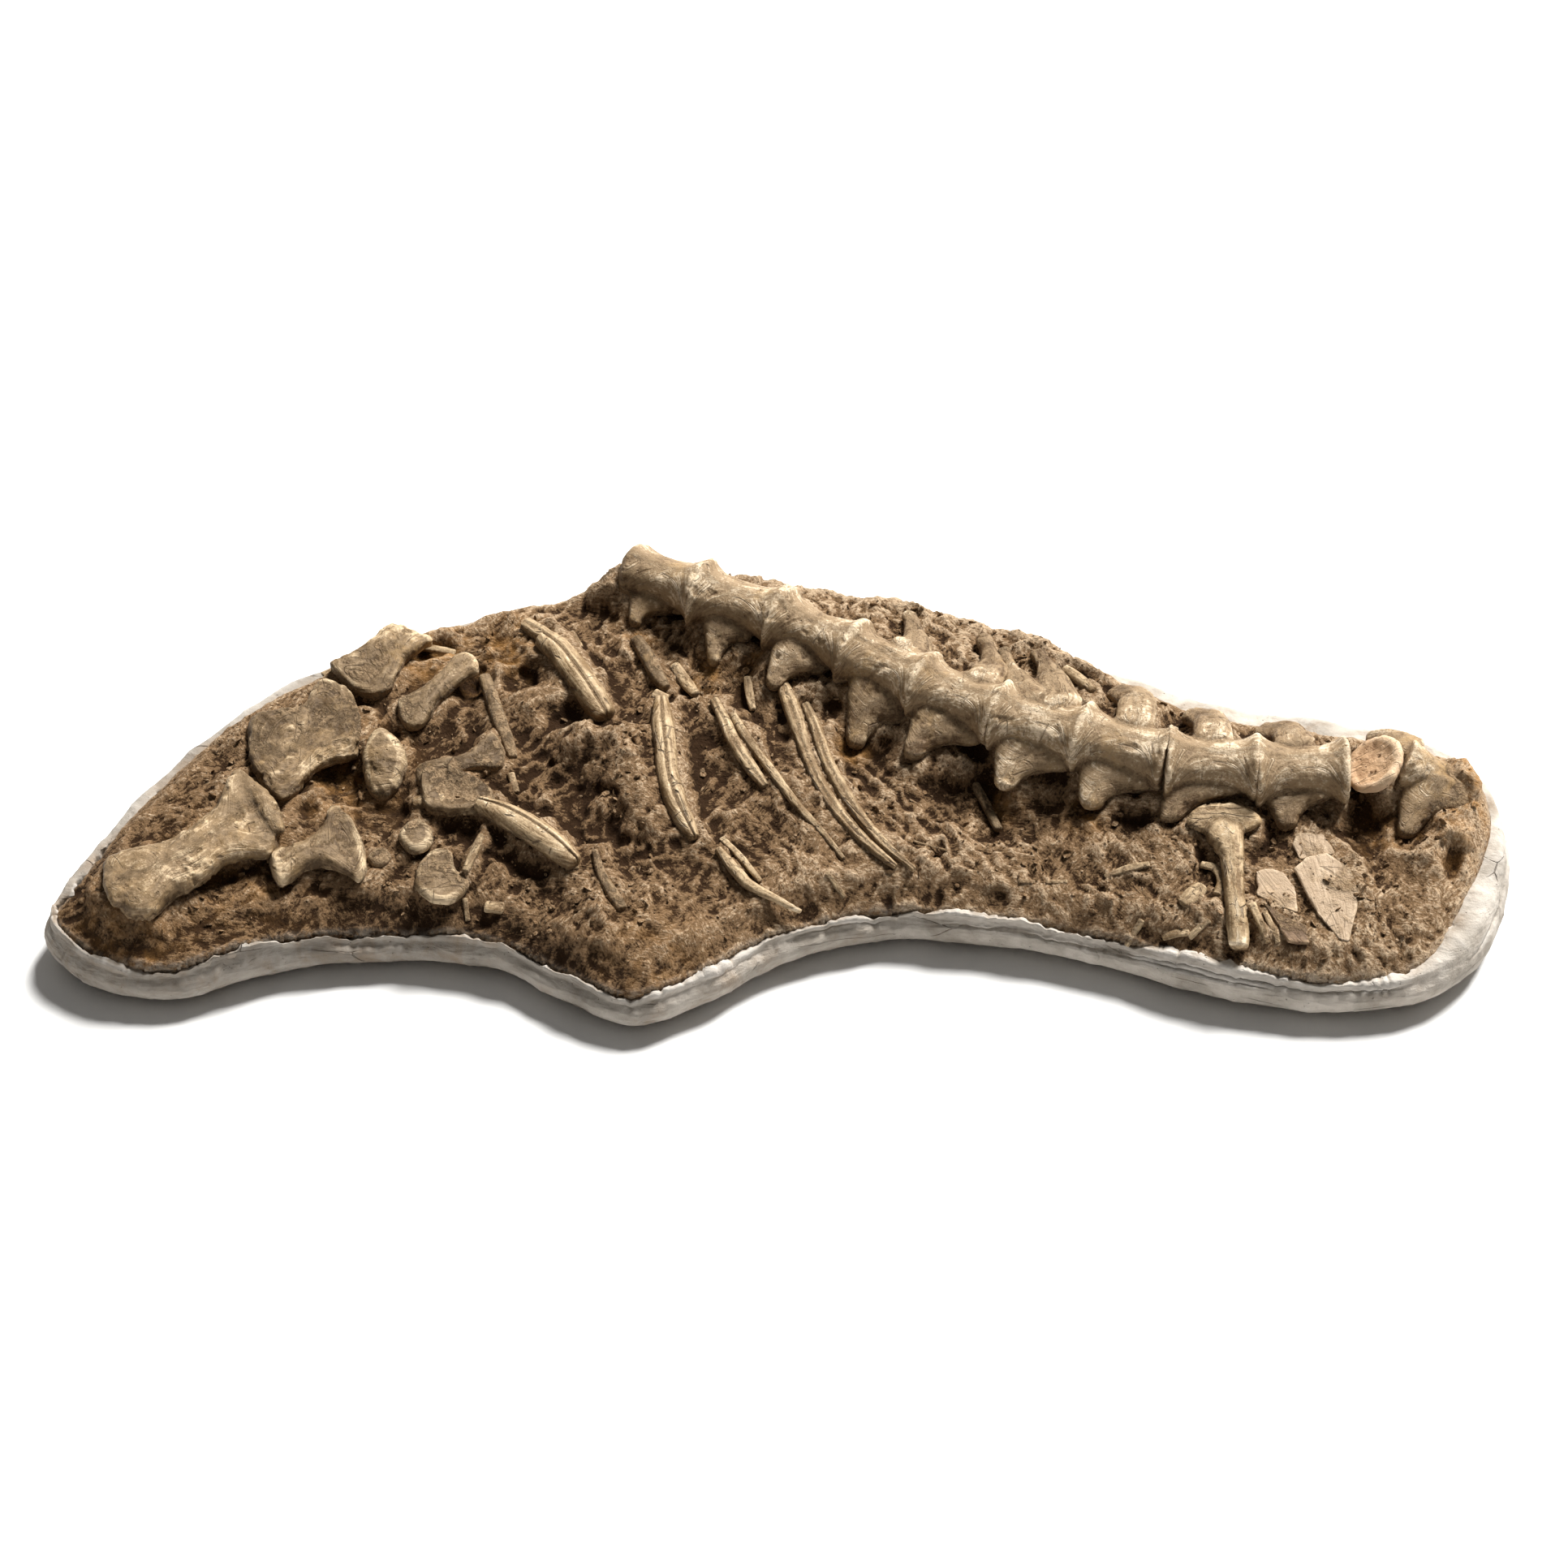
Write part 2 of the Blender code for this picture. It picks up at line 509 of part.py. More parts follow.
def build_club_head():
    """Mushroom-shaped head over the top of the club bone's shaft."""
    place = {"location": (0.390, -0.057, 0.094), "rotation": (math.radians(24), 0.0, 0.0)}
    half = Vector((0.033, 0.013, 0.010))
    room = Vector((CLEARANCE, CLEARANCE, CLEARANCE))
    shaft = bpy.data.objects["club_bone_shaft"]
    head = add_cutter("club_bone_head", ball(half, "club_bone_head"), **place)
    boolean(shaft, head, "UNION")
    add_cutter("club_bone_head_socket", ball(half + room, "club_bone_head_socket"),
               where=sockets, **place)
    shaft.name = "club_bone"


clear_scene()
parts = new_collection("jacketed_marine_reptile_slab")
cutters = new_collection("working_shapes")
sockets = new_collection("bone_sockets", cutters)
cutters.hide_render = True
sockets.hide_render = True
datum = bpy.data.objects.new("plan_datum", None)
parts.objects.link(datum)
datum.location = (-PLAN_MIDDLE[0], -PLAN_MIDDLE[1], 0.0)

outline = closed_curve(JACKET_STATIONS, 2)
build_jacket(outline)
for index, vertebra in enumerate(VERTEBRAE, start=1):
    build_vertebra(index, vertebra)
for index, rib in enumerate(RIBS, start=1):
    build_rib(index, rib)
for bone in WAISTED_BONES:
    build_waisted_bone(*bone)
for bone in WRIST_BONES:
    build_wrist_bone(*bone)
for bone in FLAT_BONES:
    build_flat_bone(*bone)
build_club_head()
build_rock(outline)
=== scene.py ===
"""Looks of a plaster-jacketed slab of rock that carries a large sea reptile's bones.

The block rests on its flat plaster foot: length along X, depth along Y, bones facing up
along Z.  Sizes are in metres on the block's plan, and every piece is moved from the plan
to the frame's own middle when it is set in place.
"""
import itertools
import logging
import math
from dataclasses import dataclass, field
from enum import Enum
from functools import cache

import bmesh
import bpy
import numpy as np
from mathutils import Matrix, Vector
from mathutils.kdtree import KDTree


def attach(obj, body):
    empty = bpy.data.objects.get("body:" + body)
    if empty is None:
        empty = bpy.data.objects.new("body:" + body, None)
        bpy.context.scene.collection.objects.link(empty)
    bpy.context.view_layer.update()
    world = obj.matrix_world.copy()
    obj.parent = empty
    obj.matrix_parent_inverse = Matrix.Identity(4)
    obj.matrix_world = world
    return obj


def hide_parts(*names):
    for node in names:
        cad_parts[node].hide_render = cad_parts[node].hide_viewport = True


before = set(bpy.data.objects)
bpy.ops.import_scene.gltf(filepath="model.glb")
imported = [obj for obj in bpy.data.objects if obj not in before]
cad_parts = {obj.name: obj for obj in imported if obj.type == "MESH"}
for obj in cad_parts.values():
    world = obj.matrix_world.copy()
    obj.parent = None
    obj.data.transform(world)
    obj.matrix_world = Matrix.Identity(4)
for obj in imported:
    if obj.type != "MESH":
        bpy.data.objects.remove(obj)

LOG = logging.getLogger("fossil_slab")
PLAN_MIDDLE = (0.0055, 0.0209, 0.0)
WELD_GAP = 0.00002
Numbers = np.ndarray
Mesh = bpy.types.Mesh


# --- carving noise
@dataclass(frozen=True)
class Grit:
    """Repeatable noise that surfaces are carved with, worked out at many points at once."""

    seed: int
    lean: float = 0.8

    def cell(self, corner: Numbers) -> Numbers:
        """Give each whole-numbered cell its own number.

        Args:
            corner: cell corners, one row of three each.

        Returns:
            One number from 0 to 1 for each row.
        """
        whole = corner.astype(np.int64).astype(np.uint32)
        mixed = (whole[:, 0] * np.uint32(374761393) + whole[:, 1] * np.uint32(668265263)
                 + whole[:, 2] * np.uint32(2246822519) + np.uint32(self.seed * 40503 % 2 ** 32))
        mixed = (mixed ^ (mixed >> np.uint32(13))) * np.uint32(1274126177)
        mixed = (mixed ^ (mixed >> np.uint32(15))) * np.uint32(2246822519)
        return (mixed ^ (mixed >> np.uint32(16))) / 4294967295.0

    def smooth(self, points: Numbers) -> Numbers:
        """Blend the cell numbers smoothly.

        Args:
            points: places in cell units, one row of three each.

        Returns:
            One value from -1 to 1 for each row.
        """
        base = np.floor(points)
        part = points - base
        ease = part * part * (3.0 - 2.0 * part)
        total = np.zeros(len(points))
        for corner in itertools.product((0, 1), repeat=3):
            weight = np.prod(np.where(corner, ease, 1 - ease), axis=1)
            total += weight * self.cell(base + corner)
        return total * 2.0 - 1.0

    def layered(self, points: Numbers, size: float, layers: int = 4, fade: float = 0.5) -> Numbers:
        """Add up finer and finer noise.

        Args:
            points: places in metres, one row of three each.
            size: size of the coarsest features in metres.
            layers: how many layers, each half the size of the one before.
            fade: strength of each layer as a share of the one before.

        Returns:
            One value for each row, about -1 to 1.
        """
        total = np.zeros(len(points))
        strength = 1.0
        whole = 0.0
        for layer in range(layers):
            shift = 17.3 * (layer + 1) + self.seed * 0.37
            total += strength * self.smooth(points * (2.07 ** layer / size) + shift)
            whole += strength
            strength *= fade
        return total / whole * 1.6

    def scoops(self, points: Numbers, size: float) -> tuple[Numbers, Numbers]:
        """Chip a surface into shallow leaning scoops that meet in sharp ridges.

        Args:
            points: places in metres; the first two columns are used.
            size: width of a scoop in metres.

        Returns:
            The surface's height, about -1 to 1, and 0 on the ridges to 1 well inside.
        """
        scaled = points[:, :2] / size
        base = np.floor(scaled)
        lowest = np.full(len(points), 9.0)
        second = lowest.copy()
        for shift in itertools.product((-1, 0, 1), repeat=2):
            cell = base + shift
            drawn = [self.cell(np.column_stack((cell, np.full(len(cell), number))))
                     for number in range(5)]
            away = cell + np.column_stack(drawn[:2]) - scaled
            level = ((away ** 2).sum(axis=1) + 0.45 * drawn[2] + self.lean * (
                away[:, 0] * (drawn[3] - 0.5) + away[:, 1] * (drawn[4] - 0.5)))
            second = np.minimum(second, np.maximum(lowest, level))
            lowest = np.minimum(lowest, level)
        return lowest * 2.4 - 0.6, np.clip((second - lowest) * 4.0, 0, 1)


def ease(values: Numbers, low: float, high: float) -> Numbers:
    """Smooth step from 0 at low to 1 at high."""
    part = np.clip((values - low) / (high - low), 0, 1)
    return part * part * (3.0 - 2.0 * part)


# --- mesh helpers
def read_rows(data: bpy.types.bpy_prop_collection, name: str, width: int = 3) -> Numbers:
    """Read a value of every item.

    Args:
        data: the items.
        name: what is read of each.
        width: how many numbers it has.

    Returns:
        One row for each item.
    """
    flat = np.empty(len(data) * width)
    data.foreach_get(name, flat)
    return flat.reshape(-1, width)


def read_points(mesh: Mesh) -> Numbers:
    """Read a mesh's corners."""
    return read_rows(mesh.vertices, "co")


def write_points(mesh: Mesh, points: Numbers) -> None:
    """Move a mesh's corners."""
    mesh.vertices.foreach_set("co", points.astype(np.float32).ravel())
    mesh.update()


def read_normals(mesh: Mesh) -> Numbers:
    """Read the outward direction at each corner."""
    return read_rows(mesh.vertex_normals, "vector")


def write_layer(mesh: Mesh, name: str, values: Numbers) -> None:
    """Store a value, or a row of three, at each corner for the materials.

    Args:
        mesh: the mesh that gets the layer.
        name: the layer's name.
        values: one number or one row of three for each corner.
    """
    wide = values.ndim == 2
    kind = "FLOAT_VECTOR" if wide else "FLOAT"
    layer = mesh.attributes.get(name) or mesh.attributes.new(name, kind, "POINT")
    layer.data.foreach_set("vector" if wide else "value", values.astype(np.float32).ravel())


def neighbour_mean(mesh: Mesh, values: Numbers, rounds: int) -> Numbers:
    """Average values over the corners joined by edges.

    Args:
        mesh: the mesh whose edges are followed.
        values: one number or row for each corner.
        rounds: how many times to average.

    Returns:
        The averaged values.
    """
    ends = np.empty(len(mesh.edges) * 2, dtype=np.int32)
    mesh.edges.foreach_get("vertices", ends)
    first, second = ends[0::2], ends[1::2]
    count = np.bincount(ends, minlength=len(mesh.vertices)).astype(float)
    count = np.maximum(count, 1.0)
    current = values.astype(float).reshape(len(values), -1)
    for _ in range(rounds):
        current = np.column_stack([
            (np.bincount(first, column[second], len(count))
             + np.bincount(second, column[first], len(count))) / count
            for column in current.T])
    return current.reshape(values.shape)


def write_wear_and_shading(mesh: Mesh, reach: float) -> None:
    """Store how far each corner stands out, plus on proud edges and minus in hollows, for wear and
    for painted highlights and shade.

    Args:
        mesh: the mesh that gets the layer of how far corners stand out.
        reach: height in metres that counts as fully proud.
    """
    points = read_points(mesh)
    proud = ((points - neighbour_mean(mesh, points, 3)) * read_normals(mesh)).sum(axis=1)
    proud = neighbour_mean(mesh, proud, 1)
    write_layer(mesh, "wear_and_shading", np.clip(proud / reach, -1, 1))


def put_back(work: bmesh.types.BMesh, mesh: Mesh) -> Mesh:
    """Write a bmesh to a mesh with smooth shading and free it.

    Args:
        work: the bmesh.
        mesh: the mesh that takes it.

    Returns:
        The mesh.
    """
    work.to_mesh(mesh)
    work.free()
    mesh.shade_smooth()
    return mesh


def mesh_from(work: bmesh.types.BMesh, name: str) -> Mesh:
    """Turn a bmesh into a new mesh."""
    return put_back(work, bpy.data.meshes.new(name))


def show(name: str, data: bpy.types.ID) -> bpy.types.Object:
    """Put a mesh, lamp or camera in the scene.

    Args:
        name: the object's name.
        data: what it holds.

    Returns:
        The object.
    """
    made = bpy.data.objects.new(name, data)
    bpy.context.scene.collection.objects.link(made)
    return made


def flat_grid(name: str, columns: int, rows: int) -> tuple[Mesh, Numbers]:
    """Make a flat grid from -1 to 1 along X and Y.

    Args:
        name: the mesh's name.
        columns: cells along X.
        rows: cells along Y.

    Returns:
        The mesh and its corners.
    """
    sheet = bmesh.new()
    bmesh.ops.create_grid(sheet, x_segments=int(columns), y_segments=int(rows), size=1.0)
    mesh = mesh_from(sheet, name)
    return mesh, read_points(mesh)


def at_height(places: Numbers, height: Numbers | float = 0.0) -> Numbers:
    """Rows of x and y with a height added."""
    return np.column_stack((places[:, :2], np.broadcast_to(height, len(places))))


# --- shader helpers
class Signal:
    """A node's output that Python's operators work on."""

    def __init__(self, bench: "NodeBench", socket: bpy.types.NodeSocket) -> None:
        """Wrap one output of the bench's tree."""
        self.bench = bench
        self.socket = socket

    def math(self, operation: str, other: "Signal | float") -> "Signal":
        """Join this value and another in a Math node."""
        return self.bench.node("ShaderNodeMath", {"operation": operation}, {0: self, 1: other})

    def __add__(self, other: "Signal | float") -> "Signal":
        """Sum."""
        return self.math("ADD", other)

    def __mul__(self, other: "Signal | float") -> "Signal":
        """Product."""
        return self.math("MULTIPLY", other)

    def __sub__(self, other: "Signal | float") -> "Signal":
        """Difference."""
        return self.math("SUBTRACT", other)

    def over(self, low: float, high: float, start: float = 0.0, end: float = 1.0) -> "Signal":
        """Smooth step from start, at and below low, to end, at and above high."""
        return self.bench.node("ShaderNodeMapRange", {"interpolation_type": "SMOOTHSTEP"},
                               {"Value": self, "From Min": low, "From Max": high,
                                "To Min": start, "To Max": end})


Colour = tuple[float, float, float]


class NodeBench:
    """Builds one material's nodes around its Principled shader."""

    def __init__(self, name: str) -> None:
        """Start a material.

        Args:
            name: its name.
        """
        self.material = bpy.data.materials.new(name)
        self.material.use_nodes = True
        self.tree = self.material.node_tree
        self.shader = self.tree.nodes["Principled BSDF"]

    def node(self, kind: str, settings: dict[str, object], inputs: dict[object, object],
             output: int | str = 0) -> Signal:
        """Add a node of any type.

        Args:
            kind: the node's type.
            settings: properties that are set first; "stops" fills a colour ramp.
            inputs: values or signals by socket name or number.
            output: the output to hand back.

        Returns:
            The chosen output.
        """
        made = self.tree.nodes.new(kind)
        for name, value in settings.items():
            if name == "stops":
                self.set_stops(made.color_ramp, value)
            else:
                setattr(made, name, value)
        for key, value in inputs.items():
            if isinstance(value, Signal):
                self.tree.links.new(value.socket, made.inputs[key])
            else:
                made.inputs[key].default_value = value
        return Signal(self, made.outputs[output])

    @staticmethod
    def set_stops(ramp: bpy.types.ColorRamp, stops: list[tuple[float, Colour]]) -> None:
        """Fill a colour ramp with positions and colours.

        Args:
            ramp: the ramp.
            stops: position and colour of each stop.
        """
        while len(ramp.elements) < len(stops):
            ramp.elements.new(0.5)
        for element, (place, colour) in zip(ramp.elements, stops):
            element.position = place
            element.color = (*colour, 1.0)

    def place(self) -> Signal:
        """Position on the object in metres."""
        return self.node("ShaderNodeTexCoord", {}, {}, "Object")

    def layer(self, name: str, output: str = "Fac") -> Signal:
        """A number stored on the mesh, or a row of three through "Vector"."""
        return self.node("ShaderNodeAttribute", {"attribute_name": name}, {}, output)

    def stretch(self, where: Signal, scale: Colour, turn: float = 0.0) -> Signal:
        """Turn a position about Z by radians, then scale it along each axis."""
        turned = self.node("ShaderNodeMapping", {"vector_type": "POINT"},
                           {"Vector": where, "Rotation": (0.0, 0.0, turn)})
        return self.node("ShaderNodeVectorMath", {"operation": "MULTIPLY"},
                         {0: turned, 1: scale})

    def noise(self, where: Signal, scale: float, detail: float = 4.0,
              roughness: float = 0.55, warp: float = 0.0) -> Signal:
        """Cloudy noise from 0 to 1, with so many features a metre and finer layers."""
        return self.node("ShaderNodeTexNoise", {},
                         {"Vector": where, "Scale": scale, "Detail": detail,
                          "Roughness": roughness, "Distortion": warp}, "Fac")

    def cells(self, where: Signal, scale: float, feature: str = "F1") -> Signal:
        """Distance in a pattern of so many cells a metre."""
        return self.node("ShaderNodeTexVoronoi", {"feature": feature},
                         {"Vector": where, "Scale": scale}, "Distance")

    def mix(self, mask: Signal, low: "Signal | Colour", high: "Signal | Colour") -> Signal:
        """Blend two colours.

        Args:
            mask: 0 for low, 1 for high.
            low: first colour.
            high: second colour.

        Returns:
            The blended colour.
        """
        colours = [value if isinstance(value, Signal) else (*value, 1.0)
                   for value in (low, high)]
        return self.node("ShaderNodeMix",
                         {"data_type": "RGBA", "clamp_factor": True},
                         {0: mask, 6: colours[0], 7: colours[1]}, 2)

    def bump(self, height: Signal, distance: float, strength: float = 1.0,
             under: Signal | None = None) -> Signal:
        """Turn a height into a bent surface direction.

        Args:
            height: the height, about 0 to 1.
            distance: how many metres a height of 1 stands for.
            strength: share of the effect.
            under: a bump beneath this one.

        Returns:
            The bent direction.
        """
        inputs: dict[object, object] = {"Height": height, "Distance": distance,
                                        "Strength": strength}
        if under is not None:
            inputs["Normal"] = under
        return self.node("ShaderNodeBump", {}, inputs)

    def dress(self, colour: Signal, roughness: Signal, normal: Signal,
              gloss: float) -> bpy.types.Material:
        """Wire the shader.

        Args:
            colour: surface colour.
            roughness: surface roughness.
            normal: bent surface direction.
            gloss: specular level, the same all over.

        Returns:
            The finished material.
        """
        for name, value in (("Base Color", colour), ("Roughness", roughness),
                            ("Normal", normal)):
            self.tree.links.new(value.socket, self.shader.inputs[name])
        self.shader.inputs["Specular IOR Level"].default_value = gloss
        return self.material


# --- finishes
@dataclass(frozen=True)
class RockFinish:
    """Soft sandy rock, chiselled and crumbly, with rust stains and painted shade in its dips."""

    name: str = "sandy_rock"
    deep: Colour = (0.034, 0.016, 0.006)
    body: Colour = (0.226, 0.138, 0.071)
    pale: Colour = (0.64, 0.475, 0.315)
    rust: Colour = (0.5, 0.255, 0.08)
    gloss: float = 0.12

    def material(self) -> bpy.types.Material:
        """Build the rock's material.

        Returns:
            The material.
        """
        bench = NodeBench(self.name)
        where = bench.place()
        pit = bench.layer("pit")
        hollow = bench.layer("hollow")
        patches = bench.noise(where, 22.0, 3.0)
        lumps = bench.noise(where, 120.0, 7.0, 0.68, 0.5)
        grains = bench.noise(where, 360.0, 5.0, 0.72)
        ways = [bench.noise(bench.stretch(where, scale, turn), 1.0, 4.0, 0.6, 0.5)
                for scale, turn in (((120.0, 520.0, 300.0), 0.15), ((120.0, 500.0, 300.0), 1.0),
                                    ((120.0, 480.0, 300.0), 2.2))]
        region = bench.noise(where, 26.0, 2.0)
        streaks = bench.mix(region.over(0.44, 0.5), self.grey(bench, ways[0]),
                            self.grey(bench, ways[1]))
        streaks = bench.mix(region.over(0.53, 0.58), streaks, self.grey(bench, ways[2]))
        streak = bench.node("ShaderNodeRGBToBW", {}, {0: streaks})
        # pit and hollow darken dips as painted shade and lighten rises a little as a painted
        # highlight.
        tone = (lumps * 0.34 + grains + streak + patches * 0.3
                + pit.over(-1.0, 0.5, -0.34, 0.07) + hollow.over(-1.0, 0.5, -0.34, 0.06)
                # tint: partly the rock's tone, partly painted light paler towards the key lamp's
                # side.
                + bench.layer("tint") * 0.26 - 0.8)
        colour = bench.node("ShaderNodeValToRGB", {"stops": [
            (0.17, self.deep), (0.44, self.body), (0.53, self.body), (0.86, self.pale)]},
            {0: tone}, "Color")
        stained = bench.layer("rust") * bench.noise(where, 60.0, 5.0, 0.65).over(0.38, 0.66)
        holes = bench.cells(where, 165.0).over(0.12, 0.26, 1, 0)
        holes = holes * patches.over(0.44, 0.6) * 0.7
        colour = bench.mix(holes, colour, self.deep)
        colour = bench.mix(stained * 0.8, colour, self.rust)
        dusty = bench.layer("dust") * bench.noise(where, 130.0, 4.0).over(0.35, 0.6)
        colour = bench.mix(dusty * 0.6, colour, (0.6, 0.53, 0.44))
        crumbs = bench.cells(where, 250.0)
        height = streak * 0.52 + grains * 0.5 + lumps * 0.5 - crumbs * 0.2 - holes * 0.4
        coarse = bench.bump(height, 0.0056)
        fine = bench.bump(bench.noise(where, 1200.0, 2.0, 0.6), 0.0008, 0.6, coarse)
        return bench.dress(colour, streak.over(0.0, 1.0, 0.86, 0.98), fine, self.gloss)

    @staticmethod
    def grey(bench: NodeBench, value: Signal) -> Signal:
        """Carry a value through the colour sockets."""
        return bench.node("ShaderNodeCombineColor", {}, {0: value, 1: value, 2: value})


@dataclass(frozen=True)
class PlasterFinish:
    """Field plaster: chalky white, grey where damp, brown with ground-in rock and painted shade.
    """

    name: str = "field_plaster"
    chalk: Colour = (0.56, 0.51, 0.45)
    damp: Colour = (0.275, 0.24, 0.198)
    brown_wash: Colour = (0.23, 0.16, 0.1)
    gloss: float = 0.22

    def material(self) -> bpy.types.Material:
        """Build the plaster's material.

        Returns:
            The material.
        """
        bench = NodeBench(self.name)
        where = bench.place()
        clouds = bench.noise(where, 16.0, 5.0, 0.6, 0.3)
        mottles = bench.noise(where, 85.0, 5.0, 0.62)
        colour = bench.mix(clouds.over(0.4, 0.66) * 0.75, self.chalk, self.damp)
        colour = bench.mix(mottles.over(0.5, 0.72) * 0.35, colour, self.damp)
        # Painted shade: darker towards the left, away from the key lamp.
        colour = bench.mix(bench.layer("tint") * clouds.over(0.3, 0.62, 0.7, 1.0), colour,
                           (0.165, 0.146, 0.125))
        # Brown from ground-in rock, and painted shade on the front left wall.
        brown_wash = bench.layer("brown_wash") * bench.noise(where, 40.0, 5.0, 0.62, 0.5).over(0.34, 0.74)
        colour = bench.mix(brown_wash * 0.7, colour, self.brown_wash)
        pores = bench.cells(where, 210.0).over(0.05, 0.16, 1, 0)
        pores = pores * bench.noise(where, 70.0, 2.0).over(0.52, 0.62)
        colour = bench.mix(pores * 0.55, colour, (0.2, 0.16, 0.12))
        wear_and_shading = bench.layer("wear_and_shading")
        colour = bench.mix(wear_and_shading.over(0.1, 0.9) * 0.4, colour, (0.66, 0.63, 0.59))
        colour = bench.mix(wear_and_shading.over(-0.1, -0.8) * 0.55, colour, (0.36, 0.3, 0.24))
        wipes = bench.noise(bench.stretch(where, (30.0, 90.0, 260.0), 0.2), 1.0, 4.0)
        cracks = bench.cells(bench.stretch(where, (9.0, 9.0, 34.0)), 1.0, "DISTANCE_TO_EDGE")
        cracks = cracks.over(0.0, 0.01, 1, 0) * clouds.over(0.5, 0.6)
        colour = bench.mix(cracks * 0.55, colour, (0.15, 0.11, 0.08))
        height = wipes * 0.6 + mottles * 0.6 - pores * 0.5 - cracks * 0.6
        coarse = bench.bump(height, 0.003, 0.9)
        fine = bench.bump(bench.noise(where, 900.0, 3.0, 0.6), 0.0005, 0.5, coarse)
        return bench.dress(colour, mottles.over(0.2, 0.8, 0.66, 0.92), fine, self.gloss)


@dataclass(frozen=True)
class BoneFinish:
    """Mineralised bone: warm beige with fibres, fine cracks, pores, rock left on it, painted
    highlights and painted shade.
    """

    name: str
    bright: Colour = (0.64, 0.52, 0.37)
    body: Colour = (0.5, 0.395, 0.275)
    shade: Colour = (0.3, 0.235, 0.16)
    rust: Colour = (0.5, 0.32, 0.14)
    rock: Colour = (0.19, 0.122, 0.066)
    fibre: float = 0.5
    cracks: float = 0.5
    cling: float = 0.022
    crust: float = 0.65
    gloss: float = 0.26

    def material(self) -> bpy.types.Material:
        """Build the bone's material.

        Returns:
            The material.
        """
        bench = NodeBench(self.name)
        where = bench.place()
        grain = bench.layer("grain", "Vector")
        wear_and_shading = bench.layer("wear_and_shading")
        bed = bench.layer("bed")
        fibres = bench.noise(bench.stretch(grain, (38.0, 330.0, 240.0)), 1.0, 4.0, 0.6, 0.15)
        broad = bench.noise(bench.stretch(grain, (18.0, 120.0, 100.0)), 1.0, 3.0, 0.5, 0.3)
        clouds = bench.noise(where, 42.0, 4.0, 0.55, 0.2)
        specks = bench.noise(where, 420.0, 4.0, 0.66)
        tone = clouds * 1.15 + fibres * self.fibre * 1.3 + broad * 0.6 + specks * 0.8
        # Painted light: lighter on proud edges and high above the rock, darker in hollows and
        # close to the rock.
        tone = tone + wear_and_shading * 0.36 + bed.over(0.0, 0.024) * 0.5 - (1.28 + self.fibre * 0.6)
        colour = bench.node("ShaderNodeValToRGB", {"stops": [
            (0.06, self.shade), (0.44, self.body), (0.54, self.body), (0.86, self.bright)]},
            {0: tone}, "Color")
        split = bench.cells(bench.stretch(grain, (26.0, 150.0, 100.0)), 1.0, "DISTANCE_TO_EDGE")
        split = split.over(0.01, 0.055, 1, 0) * broad.over(0.52, 0.6)
        across = bench.cells(bench.stretch(grain, (44.0, 18.0, 10.0)), 1.0, "DISTANCE_TO_EDGE")
        across = across.over(0.005, 0.026, 1, 0) * clouds.over(0.54, 0.6)
        crack = split.math("MAXIMUM", across) * self.cracks
        pores = bench.cells(where, 170.0).over(0.08, 0.19, 1, 0)
        pores = pores * bench.noise(where, 60.0, 3.0).over(0.52, 0.6)
        # Golden rubbed edges, partly wear and partly a painted highlight on proud edges.
        worn_and_highlit = wear_and_shading.over(0.15, 0.8) * clouds.over(0.4, 0.62)
        colour = bench.mix(worn_and_highlit * 0.28, colour, (0.7, 0.54, 0.34))
        colour = bench.mix(crack * 0.85, colour, (0.085, 0.055, 0.034))
        colour = bench.mix(pores * 0.6, colour, (0.13, 0.088, 0.052))
        stained = bench.layer("rust") * bench.noise(where, 75.0, 6.0, 0.7).over(0.42, 0.66) * 0.6
        faint = bench.noise(where, 28.0, 7.0, 0.7).over(0.56, 0.7) * 0.3
        colour = bench.mix(stained.math("MAXIMUM", faint), colour, self.rust)
        left = bench.noise(where, 60.0, 7.0, 0.7, 0.3) * self.cling - self.cling * 0.36
        buried = (bed - left).over(0.0018, -0.0012)
        crusts = bench.noise(where, 48.0, 8.0, 0.72, 0.4).over(0.62, 0.71) * self.crust
        dirt = buried.math("MAXIMUM", crusts).math("MAXIMUM", wear_and_shading.over(-0.15, -0.75) * 0.7)
        brown_wash = bench.mix(specks.over(0.34, 0.66), self.rock, (0.4, 0.28, 0.165))
        colour = bench.mix(dirt * 0.85, colour, brown_wash)
        crumble = bench.noise(where, 210.0, 5.0, 0.7)
        height = fibres * (0.45 * self.fibre) + specks * 0.4 - crack * 0.8 - pores * 0.45
        height = height + clouds * 0.3 + dirt * (crumble * 1.6 + 0.1)
        coarse = bench.bump(height, 0.0026, 0.85)
        fine = bench.bump(bench.noise(where, 1300.0, 2.0, 0.6), 0.0004, 0.45, coarse)
        return bench.dress(colour, dirt.over(0.0, 1.0, 0.6, 0.94), fine, self.gloss)


